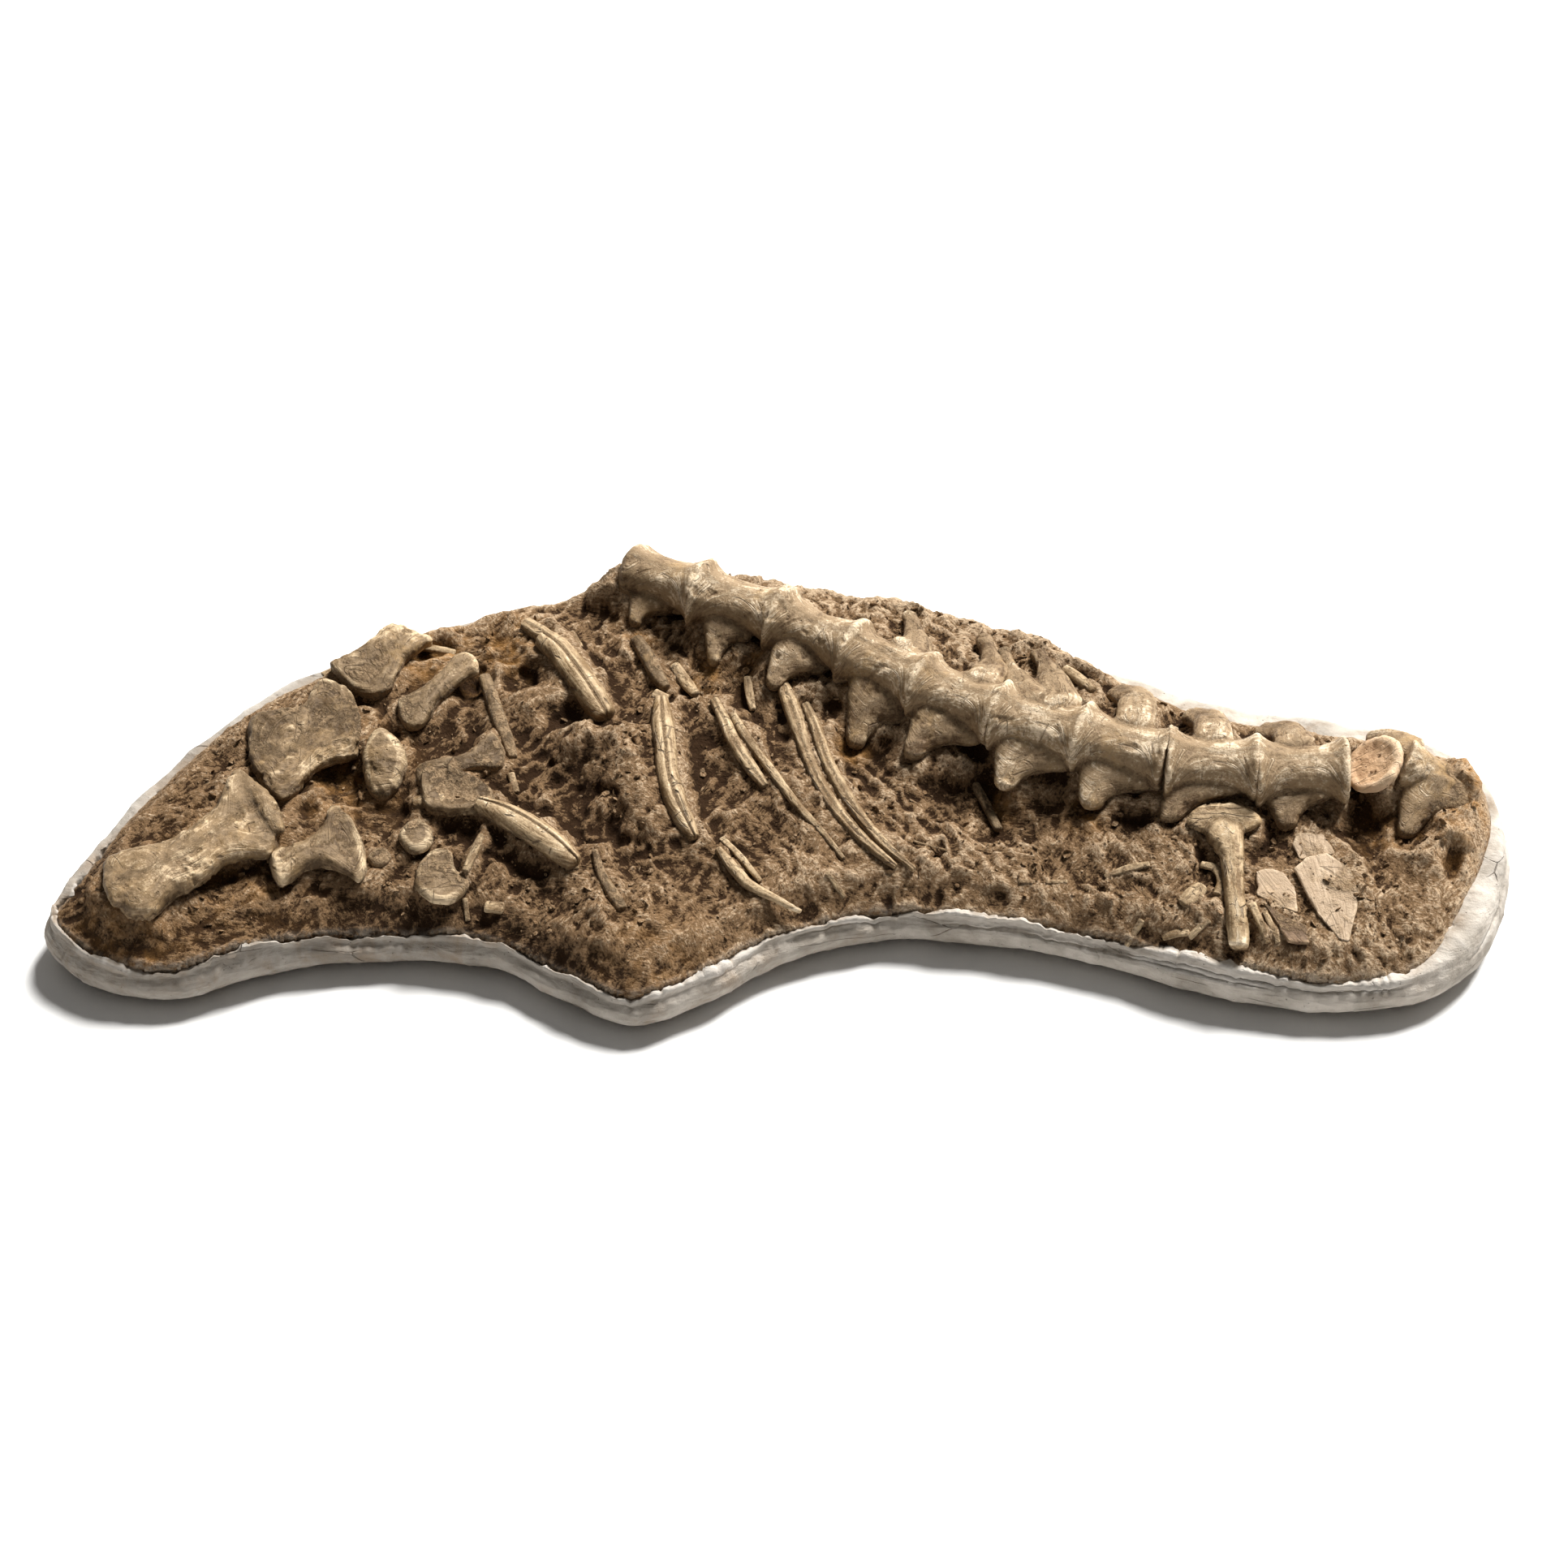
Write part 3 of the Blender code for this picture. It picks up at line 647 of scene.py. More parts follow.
class Cloth(Enum):
    """The finishes that pieces of this block are given."""

    ROCK = RockFinish()
    PLASTER = PlasterFinish()
    VERTEBRA = BoneFinish("vertebra_bone", bright=(0.76, 0.615, 0.44),
                          body=(0.3, 0.208, 0.118), shade=(0.1, 0.056, 0.024),
                          fibre=0.7, cracks=0.45, cling=0.04, crust=0.5)
    LIMB = BoneFinish("paddle_bone", bright=(0.58, 0.44, 0.28), body=(0.205, 0.137, 0.072),
                      shade=(0.08, 0.047, 0.02), fibre=0.6, cracks=0.45, cling=0.042,
                      crust=0.85)
    RIB = BoneFinish("rib_bone", bright=(0.85, 0.71, 0.52), body=(0.465, 0.338, 0.2),
                     shade=(0.18, 0.112, 0.052), fibre=0.95, cracks=0.75, cling=0.012,
                     crust=0.3)
    CUP = BoneFinish("cup_bone", bright=(0.7, 0.5, 0.33), body=(0.56, 0.365, 0.215),
                     shade=(0.36, 0.215, 0.12), fibre=0.2, cracks=0.35)
    PLATE = BoneFinish("plate_bone", bright=(0.76, 0.62, 0.47), body=(0.54, 0.41, 0.285),
                       shade=(0.4, 0.29, 0.19),
                       fibre=1.1, cracks=0.35, cling=0.006)
    PLATE_DARK = BoneFinish("dark_plate_bone", bright=(0.4, 0.27, 0.165),
                            body=(0.27, 0.172, 0.098), shade=(0.15, 0.092, 0.052),
                            fibre=1.2, cracks=0.3)


@cache
def finish_of(cloth: Cloth) -> bpy.types.Material:
    """Build a finish once and hand it back."""
    return cloth.value.material()


def set_piece(name: str, mesh: Mesh, cloth: Cloth, *nodes: str) -> None:
    """Move a finished mesh to the frame, dress it and put it in place of its solids.

    Args:
        name: the piece's name.
        mesh: the mesh on the plan.
        cloth: its finish.
        nodes: the solids that it stands for, which are hidden.
    """
    write_points(mesh, read_points(mesh) - PLAN_MIDDLE)
    mesh.materials.clear()
    mesh.materials.append(finish_of(cloth))
    piece = show(name, mesh)
    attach(piece, "root")
    if nodes:
        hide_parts(*nodes)
    LOG.info("%s: %d faces", name, len(mesh.polygons))


# --- plan of the block
Row = tuple[float, ...]
Rows = tuple[Row, ...]


def mm(*rows: Row, shares: int = 0) -> Rows:
    """Turn rows of millimetres into metres, but for the shares that end each row."""
    return tuple(tuple(round(value / 1000, 6) if place < len(row) - shares else value
                       for place, value in enumerate(row)) for row in rows)


@dataclass(frozen=True)
class Outline:
    """Widest line of the jacket on the plan; each station is x, y, lip height, lip width."""

    stations: Rows = mm(
        (-636, -135, 48, 4.4), (-590, -184, 45, 4.4), (-520, -198, 45, 4.4), (-466, -180, 53, 5),
        (-413, -161, 43, 3.9), (-325, -152, 40, 3.3), (-244, -164, 40, 2.8), (-185, -198, 40, 2.2),
        (-123, -227, 42, 2.2), (-60, -201, 45, 2.8), (0, -158, 41, 3.3), (95, -128, 42, 3.9),
        (200, -137, 41, 3.9), (306, -166, 43, 3.3), (400, -198, 43, 3.9), (495, -212, 42, 5),
        (575, -192, 47, 16), (625, -130, 58, 28), (647, -45, 70, 17), (630, 18, 80, 20),
        (560, 70, 85, 31), (398, 116, 82, 36), (268, 163, 88, 15), (129, 225, 90, 11),
        (-20, 262, 88, 8), (-100, 268, 86, 8), (-190, 244, 86, 8), (-295, 214, 84, 14),
        (-411, 163, 79, 21), (-500, 98, 74, 24), (-575, 3, 66, 20), (-620, -80, 56, 15))

    checks: int = 640
    batch: int = 8192

    def walked(self, count: int) -> tuple[Numbers, Numbers]:
        """Walk the smooth line at even steps.

        Args:
            count: number of steps.

        Returns:
            Rows of x, y, lip height and lip width, and rows of the inward direction.
        """
        line = smooth_line(np.array(self.stations), 40, closed=True)
        steps = np.hypot(*np.diff(line[:, :2], axis=0).T)
        gone = np.concatenate(([0.0], np.cumsum(steps)))
        wanted = np.linspace(0.0, gone[-1], count, endpoint=False)
        rows = np.column_stack([np.interp(wanted, gone, column) for column in line.T])
        along = np.roll(rows[:, :2], -1, axis=0) - np.roll(rows[:, :2], 1, axis=0)
        along /= np.hypot(*along.T)[:, None]
        return rows, np.column_stack((-along[:, 1], along[:, 0]))

    def depth(self, places: Numbers) -> tuple[Numbers, Numbers, Numbers]:
        """Measure how far places lie inside the line.

        Args:
            places: rows of x and y.

        Returns:
            The distance inside, and the lip's height and width at the nearest place.
        """
        rows, inward = self.walked(self.checks)
        deep = np.empty(len(places))
        nearest = np.empty(len(places), dtype=np.int64)
        for start in range(0, len(places), self.batch):
            part = slice(start, start + self.batch)
            across = places[part, 0, None] - rows[None, :, 0]
            back = places[part, 1, None] - rows[None, :, 1]
            squared = across * across + back * back
            found = squared.argmin(axis=1)
            pick = np.arange(len(found))
            side = (across[pick, found] * inward[found, 0]
                    + back[pick, found] * inward[found, 1])
            deep[part] = np.sqrt(squared[pick, found]) * np.sign(side)
            nearest[part] = found
        return deep, rows[nearest, 2], rows[nearest, 3]


def smooth_line(stations: Numbers, pieces: int, closed: bool = False) -> Numbers:
    """Run a smooth curve through stations of any number of columns.

    Args:
        stations: one row for each station.
        pieces: steps between one station and the next.
        closed: whether the curve returns to its start.

    Returns:
        The curve's rows, with both ends.
    """
    if closed:
        padded = np.vstack((stations[-1:], stations, stations[:2]))
    else:
        padded = np.vstack((2 * stations[0] - stations[1], stations,
                            2 * stations[-1] - stations[-2]))
    part = (np.arange(pieces) / pieces)[:, None]
    rows = []
    for before, start, end, after in zip(padded, padded[1:], padded[2:], padded[3:]):
        rows.append(start + 0.5 * part * (end - before + part * (
            2 * before - 5 * start + 4 * end - after
            + part * (3 * (start - end) + after - before))))
    return np.vstack((*rows, padded[-2:-1]))


STAINS = mm(
    (-126, 178, 16, 0.9), (-319, 163, 40, 0.9), (-240, 156, 30, 0.8), (-275, 140, 30, 0.5),
    (600, -18, 50, 1), (575, 10, 35, 0.8), (600, -70, 40, 0.5), (-62, 128, 16, 0.8),
    (-20, 135, 20, 0.5), (68, 42, 14, 0.9), (200, -16, 14, 0.7), (272, -38, 14, 0.9),
    (-470, -90, 60, 0.35), (-386, 10, 50, 0.5), (530, -60, 20, 0.6), (-560, -160, 50, 0.4),
    (75, 95, 18, 0.7), (-100, -190, 40, 0.3), shares=1)


def rust_at(points: Numbers) -> Numbers:
    """Tell how rust-stained places on the plan are, from 0 to 1.

    Args:
        points: rows that start with x and y.

    Returns:
        One share for each row.
    """
    total = np.zeros(len(points))
    for east, north, reach, strength in STAINS:
        squared = (points[:, 0] - east) ** 2 + (points[:, 1] - north) ** 2
        total = np.maximum(total, strength * np.exp(-squared / (reach * reach)))
    return total


# --- rock
def oval(places: Numbers, east: float, north: float, wide: float, deep: float) -> Numbers:
    """Squared distance from an oval's middle, 1 on its line."""
    return ((places[:, 0] - east) / wide) ** 2 + ((places[:, 1] - north) / deep) ** 2


@dataclass(frozen=True)
class Seat:
    """Where a bone lies in the rock: rows of x, y, axis height and half width."""

    rows: Numbers
    drop: float
    reach: float
    pull: float = 1.0


@dataclass
class RockSurface:
    """The chiselled top of the rock, carved as one fine sheet and closed underneath."""

    outline: Outline
    pitch: float = 0.0021
    slope: float = 0.125
    middle_height: float = 0.078
    lean: float = 0.26
    tuck: float = 0.0085
    skirt_foot: float = 0.018
    lip_gap: float = 0.0035
    lip_share: float = 0.75
    # Worked out while the sheet is carved: corner, size and cells of the sheet, how calm the
    # carving is, the cell of each corner and the height on the grid
    low: Numbers = field(init=False)
    size: Numbers = field(init=False)
    cells: Numbers = field(init=False)
    calm: Numbers = field(init=False)
    cell_at: tuple[Numbers, ...] = field(init=False)
    heights: Numbers = field(init=False)
    # Each mound and hollow is x, y, height, spread along X, spread along Y and its weight
    mounds: Rows = mm(
        (-188, 34, 103, 13, 12, 3), (-168, 42, 112, 14, 13, 5), (-148, 44, 113, 14, 13, 5),
        (-135, 15, 108, 12, 16, 5), (-122, -15, 105, 12, 16, 5), (-112, -44, 96, 12, 14, 4),
        (-210, 88, 105, 17, 14, 5), (-123, -150, 80, 40, 24, 3), (-115, -192, 64, 35, 16, 3),
        (-150, -130, 78, 30, 12, 2), (-85, -165, 70, 20, 15, 2), (-520, -30, 86, 50, 35, 2),
        (-450, 80, 94, 45, 22, 2), (-330, 185, 98, 35, 14, 2), (-240, 200, 100, 40, 18, 2),
        (-537, -155, 62, 30, 12, 2), (-180, 190, 100, 30, 20, 2), (-157, 226, 113, 16, 13, 5),
        (-143, 242, 117, 14, 12, 4), (-150, 205, 102, 14, 12, 3), (-86, 200, 100, 11, 10, 5),
        (-105, 250, 112, 20, 12, 4), (-30, 220, 114, 25, 16, 4), (30, 200, 113, 25, 18, 4),
        (75, 188, 114, 22, 20, 5), (106, 176, 119, 22, 22, 6), (140, 158, 112, 16, 20, 5),
        (165, 146, 119, 18, 22, 6), (190, 130, 122, 22, 26, 6), (221, 140, 128, 24, 26, 7),
        (150, 185, 112, 20, 20, 5), (270, 128, 122, 26, 18, 5), (210, 165, 118, 30, 14, 5),
        (330, 100, 114, 30, 18, 5), (480, -155, 71, 30, 26, 5), (430, -155, 68, 22, 22, 5),
        (450, -85, 83, 26, 16, 4), (520, -165, 62, 20, 18, 2), (250, 116, 121, 12, 12, 4),
        (306, 86, 118, 16, 16, 5), (340, 78, 109, 18, 14, 3), (377, 70, 114, 22, 20, 5),
        (410, 60, 106, 18, 14, 3), (447, 52, 111, 24, 20, 5), (490, 35, 104, 20, 18, 3),
        (528, 40, 110, 22, 16, 6), (575, 28, 102, 22, 16, 4), (583, -60, 104, 22, 20, 5),
        (608, -45, 100, 14, 28, 4), (562, -80, 88, 16, 18, 3), (602, -10, 103, 18, 18, 5),
        (575, -130, 74, 28, 26, 2), (520, -120, 73, 26, 30, 2), (333, -136, 70, 30, 14, 3),
        (369, -117, 72, 12, 16, 3), (342, -82, 84, 22, 16, 4), (300, -60, 80, 26, 16, 2),
        (3, -90, 74, 20, 14, 2), (-39, -135, 66, 20, 14, 2), (172, -116, 56, 40, 12, 2),
        (-200, -140, 64, 30, 16, 2), (120, 45, 90, 20, 16, 3), shares=1)
    hollows: Rows = mm(
        (-165, 3, 93, 14, 12, 0.8), (-150, -28, 89, 12, 12, 0.8), (-185, -12, 78, 16, 14, 0.8),
        (-190, 72, 86, 14, 11, 0.9), (-228, 120, 84, 14, 14, 0.8), (-277, 122, 76, 14, 20, 0.9),
        (-319, 160, 80, 24, 8, 0.9), (-386, 8, 72, 18, 18, 0.9), (-348, -42, 72, 18, 12, 0.9),
        (-463, -112, 66, 45, 15, 0.9), (-400, -122, 62, 35, 12, 0.6), (-95, 196, 100, 12, 10, 0.9),
        (-25, 148, 105, 16, 12, 1), (41, 102, 104, 16, 14, 1), (98, 60, 98, 10, 14, 0.8),
        (146, -22, 64, 40, 24, 0.9), (85, 10, 70, 16, 30, 0.7), (164, 20, 96, 16, 12, 0.9),
        (240, -6, 87, 17, 14, 0.9), (200, -45, 60, 26, 16, 0.8), (310, -26, 92, 13, 10, 0.9),
        (385, -44, 92, 14, 8, 0.8), (484, -48, 86, 14, 8, 0.8), (515, -52, 74, 12, 18, 1),
        (590, -96, 66, 8, 10, 1), (273, 110, 102, 12, 8, 1), (335, 76, 104, 12, 8, 0.8),
        (407, 52, 102, 12, 8, 0.8), (-58, 20, 78, 12, 40, 0.8), (2, 55, 82, 8, 30, 0.8),
        (-130, 90, 88, 12, 22, 0.8), (-430, -10, 80, 18, 10, 0.7), (-280, -60, 70, 14, 10, 0.8),
        (-205, 20, 80, 12, 20, 0.7), (-300, 48, 80, 20, 14, 0.6), (-60, -110, 64, 16, 20, 0.5),
        (-215, -110, 62, 20, 16, 0.5), (-330, -125, 58, 20, 12, 0.5), (270, -30, 70, 16, 12, 0.6),
        (100, -40, 66, 20, 16, 0.5), (-152, 222, 128, 14, 13, 0.9), (-142, 234, 136, 13, 14, 0.9),
        (-128, 246, 138, 12, 10, 0.8), (-136, 208, 118, 12, 12, 0.8),
        (608, -16, 120, 16, 26, 0.95), (590, -50, 100, 20, 14, 0.8), shares=1)

    def free_height(self, places: Numbers) -> Numbers:
        """Shape of the rock away from any bone.

        Args:
            places: rows of x and y.

        Returns:
            The height at each place.
        """
        weight = np.full(len(places), 0.9)
        total = weight * (self.middle_height + self.slope * places[:, 1])
        for east, north, height, wide, deep, strength in self.mounds:
            share = strength * np.exp(-0.55 * oval(places, east, north, wide, deep))
            weight += share
            total += share * height
        return total / weight

    def seat_bones(self, places: Numbers, height: Numbers, seats: list[Seat]) -> Numbers:
        """Bring the rock up or down to meet the bones.

        Args:
            places: rows of x and y.
            height: the free height.
            seats: where the bones lie.

        Returns:
            The height with the bones' beds.
        """
        rough = Grit(5).layered(at_height(places), 0.016, 3)
        self.calm = np.ones(len(places))
        for seat in seats:
            low = seat.rows[:, :2].min(axis=0) - seat.rows[:, 3].max() - seat.reach
            high = seat.rows[:, :2].max(axis=0) + seat.rows[:, 3].max() + seat.reach
            near = np.flatnonzero(((places > low) & (places < high)).all(axis=1))
            local = places[near]
            gap = np.full(len(near), 9.0)
            level = np.zeros(len(near))
            for east, north, axis, wide in seat.rows:
                away = np.hypot(local[:, 0] - east, local[:, 1] - north) - wide
                level = np.where(away < gap, axis + self.lean * (local[:, 1] - north), level)
                gap = np.minimum(gap, away)
            bed = level - seat.drop
            share = seat.pull * (1 - ease(gap + rough[near] * seat.reach * 0.22,
                                            0.0005, seat.reach))
            blended = height[near] * (1 - share) + bed * share
            ceiling = np.where(gap < 0.0, bed - 0.0005, 9.0)
            height[near] = np.minimum(blended, ceiling)
            self.calm[near] = np.minimum(self.calm[near], ease(gap, -0.004, 0.008) * 0.7 + 0.3)
        return height

    def dig(self, places: Numbers, height: Numbers) -> Numbers:
        """Dig the hollows that the bones overhang and heap rock over buried ends.

        Args:
            places: rows of x and y.
            height: the height with the bones' beds.

        Returns:
            The height with the hollows.
        """
        flat = at_height(places)
        bent = places + 0.004 * np.column_stack((Grit(15).layered(flat, 0.02, 2),
                                                 Grit(16).layered(flat, 0.02, 2)))
        for east, north, floor, wide, deep, strength in self.hollows:
            share = strength * np.exp(-0.5 * oval(bent, east, north, wide, deep) ** 1.6)
            height = height * (1 - share) + floor * share
        return height

    def carve(self, places: Numbers, height: Numbers, quiet: Numbers) -> Numbers:
        """Cut the chisel marks and crumbly texture.

        Args:
            places: rows of x and y.
            height: the height so far.
            quiet: 0 at the lip to 1 well inside.

        Returns:
            The carved height.
        """
        solid = at_height(places, height * 1.5)
        swirl = Grit(2).layered(solid, 0.03, 2)
        twist = Grit(17).layered(solid, 0.01, 2)
        bent = solid + np.column_stack((0.007 * swirl + 0.0028 * twist,
                                        0.006 * Grit(18).layered(solid, 0.024, 3),
                                        swirl * 0.0))
        rugged = ease(Grit(8).layered(solid, 0.05, 3), -0.15, 0.4)
        broad, _ = Grit(11).scoops(bent, 0.036)
        chips, ridge = Grit(12).scoops(bent, 0.015)
        way = np.interp(places[:, 0], (-0.6, -0.35, -0.1, 0.05, 0.3, 0.62),
                        (0.0, 0.3, 1.0, 2.0, 2.0, 1.5)) + 0.9 * Grit(4).layered(solid, 0.06, 2)
        marks = np.zeros(len(places))
        fine = marks.copy()
        for number, turn in enumerate((0.2, 1.0, 2.2)):
            share = np.clip(1 - np.abs(np.clip(way, 0.0, 2.0) - number), 0, 1)
            lined = np.column_stack((
                (np.cos(turn) * bent[:, 0] + np.sin(turn) * bent[:, 1]) * 0.36,
                -np.sin(turn) * bent[:, 0] + np.cos(turn) * bent[:, 1], height * 0.3))
            marks += share * Grit(6).scoops(lined + 0.0014 * swirl[:, None], 0.008)[0]
            fine += share * Grit(13).layered(lined * (1.4, 1.0, 1.0), 0.0064, 3, 0.8)
        carved = (0.0052 * Grit(3).layered(solid, 0.06, 3) + 0.002 * broad
                  + (0.0006 + 0.002 * rugged) * chips + (0.0013 + 0.0012 * rugged) * marks
                  + 0.0017 * fine + 0.0005 * ease(ridge, 0.25, 0.0))
        return height + carved * (0.18 + 0.82 * quiet)

    def build(self, seats: list[Seat]) -> Mesh:
        """Carve the sheet, cut it to the jacket and close it.

        Args:
            seats: where the bones lie.

        Returns:
            The rock on the plan, with its "pit", "hollow", "rust" and "dust" layers.
        """
        rim = np.array(self.outline.stations)
        self.low = rim[:, :2].min(axis=0)
        self.size = rim[:, :2].max(axis=0) - self.low
        self.cells = np.ceil(self.size / self.pitch).astype(int)
        mesh, grid = flat_grid("rock", *self.cells)
        places = self.low + (grid[:, :2] + 1.0) * 0.5 * self.size
        deep, lip, wide = self.outline.depth(places)
        edge = self.lip_gap + wide * self.lip_share
        reach = np.interp(lip, (0.045, 0.078), (0.034, 0.016))
        reach += 0.016 * ease(places[:, 0], 0.22, 0.38) * ease(places[:, 1], 0.0, 0.04)
        inside = ease(deep - edge, -0.001, reach)
        height = self.seat_bones(places, self.free_height(places), seats)
        height = self.dig(places, height)
        wave = Grit(9).layered(at_height(places, lip), 0.03, 3)
        border = lip + 0.0015 + 0.003 * wave
        height = border * (1 - inside) + height * inside
        share = (places - self.low) / self.size
        self.cell_at = tuple(np.round(share * self.cells).astype(int).T)
        settled = self.slumped(self.on_grid(height))
        height = settled[self.cell_at]
        steep = np.hypot(*np.gradient(settled, self.pitch))[self.cell_at]
        calm = self.calm / (1 + (steep / 1.1) ** 2)
        height = self.carve(places, height, ease(deep - edge, -0.003, 0.01) * calm)
        under = ease(deep - edge, 0.006, -0.002)
        height = height - 0.012 * under
        points = at_height(places, height)
        write_points(mesh, points)
        self.heights = self.on_grid(height)
        # Fine and broad dips below the surroundings, which the finish darkens as painted shade.
        fine = height - neighbour_mean(mesh, height, 5)
        dips = 0.55 * (height - self.widened(8)) / 0.006
        dips += 0.45 * (height - self.widened(22)) / 0.014
        write_layer(mesh, "pit", np.clip(fine / 0.0016, -1, 1))
        write_layer(mesh, "hollow", np.clip(dips, -1, 1))
        # Tint: partly tone and partly painted light, paler towards the key lamp's side.
        write_layer(mesh, "tint", self.tone_and_painted_light(places, deep))
        write_layer(mesh, "rust", rust_at(places))
        write_layer(mesh, "dust", ease(deep - edge, 0.01, 0.0))
        write_layer(mesh, "depth", deep - self.tuck - 0.3 * wide)
        lift = Grit(21).layered(points, 0.014, 3, 0.65)
        lift *= 0.001 + 0.003 * ease(steep, 0.4, 1.3)
        write_points(mesh, points + read_normals(mesh) * (lift * inside)[:, None])
        return self.trimmed(mesh)

    def tone_and_painted_light(self, places: Numbers, deep: Numbers) -> Numbers:
        """Tell how much paler or darker the rock is painted, partly its tone and partly painted
        light.

        Args:
            places: rows of x and y.
            deep: how far each lies inside the jacket's line.

        Returns:
            The shade at each place, below 0 where the rock is darker.
        """
        east, north = places.T
        # Paler towards the right and the back, where the key lamp comes from: partly tone, partly
        # painted light.
        shade = np.interp(east, (-0.6, -0.3, -0.05, 0.08, 0.35, 0.6),
                          (-0.3, -0.34, -0.12, 0.15, 0.05, 0.3))
        shade += np.interp(north, (-0.1, 0.05, 0.2), (-0.05, 0.0, 0.45))
        # Darker at the front left, near the lip.
        damp = ease(deep, 0.05, 0.012) * ease(north, -0.02, -0.1)
        return shade - damp * ease(east, 0.0, -0.2) * 0.65

    def on_grid(self, values: Numbers) -> Numbers:
        """Lay the corners' values out on the sheet's grid.

        Args:
            values: one number for each corner.

        Returns:
            The numbers by column and row.
        """
        laid = np.empty(self.cells + 1)
        laid[self.cell_at] = values
        return laid

    def slumped(self, heights: Numbers, rounds: int = 9) -> Numbers:
        """Let the rock slump where it stands too steep.

        Args:
            heights: height at each corner of the sheet's grid.
            rounds: how many times it settles.

        Returns:
            The settled heights.
        """
        for _ in range(rounds):
            wide = np.pad(heights, 1, mode="edge")
            mean = (wide[:-2, 1:-1] + wide[2:, 1:-1] + wide[1:-1, :-2] + wide[1:-1, 2:]) / 4
            steep = np.hypot(*np.gradient(heights, self.pitch))
            heights = heights + (mean - heights) * ease(steep, 0.6, 1.4)
        return heights

    def widened(self, reach: int) -> Numbers:
        """Average the heights over squares that reach so many cells each way.

        Args:
            reach: half width of a square in cells.

        Returns:
            The averaged height at each corner.
        """
        summed = np.pad(self.heights, reach + 1, mode="edge").cumsum(axis=0).cumsum(axis=1)
        span = 2 * reach + 1
        square = (summed[span:, span:] - summed[:-span, span:]
                  - summed[span:, :-span] + summed[:-span, :-span]) / span ** 2
        return square[self.cell_at]

    def trimmed(self, mesh: Mesh) -> Mesh:
        """Cut away what lies under the lip, drop a skirt and close the underside.

        Args:
            mesh: the carved sheet with its "depth" layer.

        Returns:
            The same mesh, closed.
        """
        keep = read_rows(mesh.attributes["depth"].data, "value", 1)[:, 0] > 0.0
        sheet = bmesh.new()
        sheet.from_mesh(mesh)
        sheet.verts.ensure_lookup_table()
        gone = [sheet.verts[int(index)] for index in np.flatnonzero(~keep)]
        bmesh.ops.delete(sheet, geom=gone, context="VERTS")
        border = [edge for edge in sheet.edges if edge.is_boundary]
        made = bmesh.ops.extrude_edge_only(sheet, edges=border)["geom"]
        for corner in made:
            if isinstance(corner, bmesh.types.BMVert):
                corner.co.z = self.skirt_foot
        border = [edge for edge in sheet.edges if edge.is_boundary]
        bmesh.ops.triangle_fill(sheet, edges=border, use_beauty=False)
        bmesh.ops.recalc_face_normals(sheet, faces=sheet.faces)
        return put_back(sheet, mesh)

    def height_at(self, points: Numbers) -> Numbers:
        """Read the carved height under points.

        Args:
            points: rows that start with x and y.

        Returns:
            The rock's height at each.
        """
        place = np.clip((points[:, :2] - self.low) / self.size, 0.0, 0.9999) * self.cells
        cell = place.astype(int)
        part = place - cell
        found = np.zeros(len(points))
        for east, north in ((0, 0), (1, 0), (0, 1), (1, 1)):
            found += (self.heights[cell[:, 0] + east, cell[:, 1] + north]
                      * np.abs(1 - east - part[:, 0]) * np.abs(1 - north - part[:, 1]))
        return found


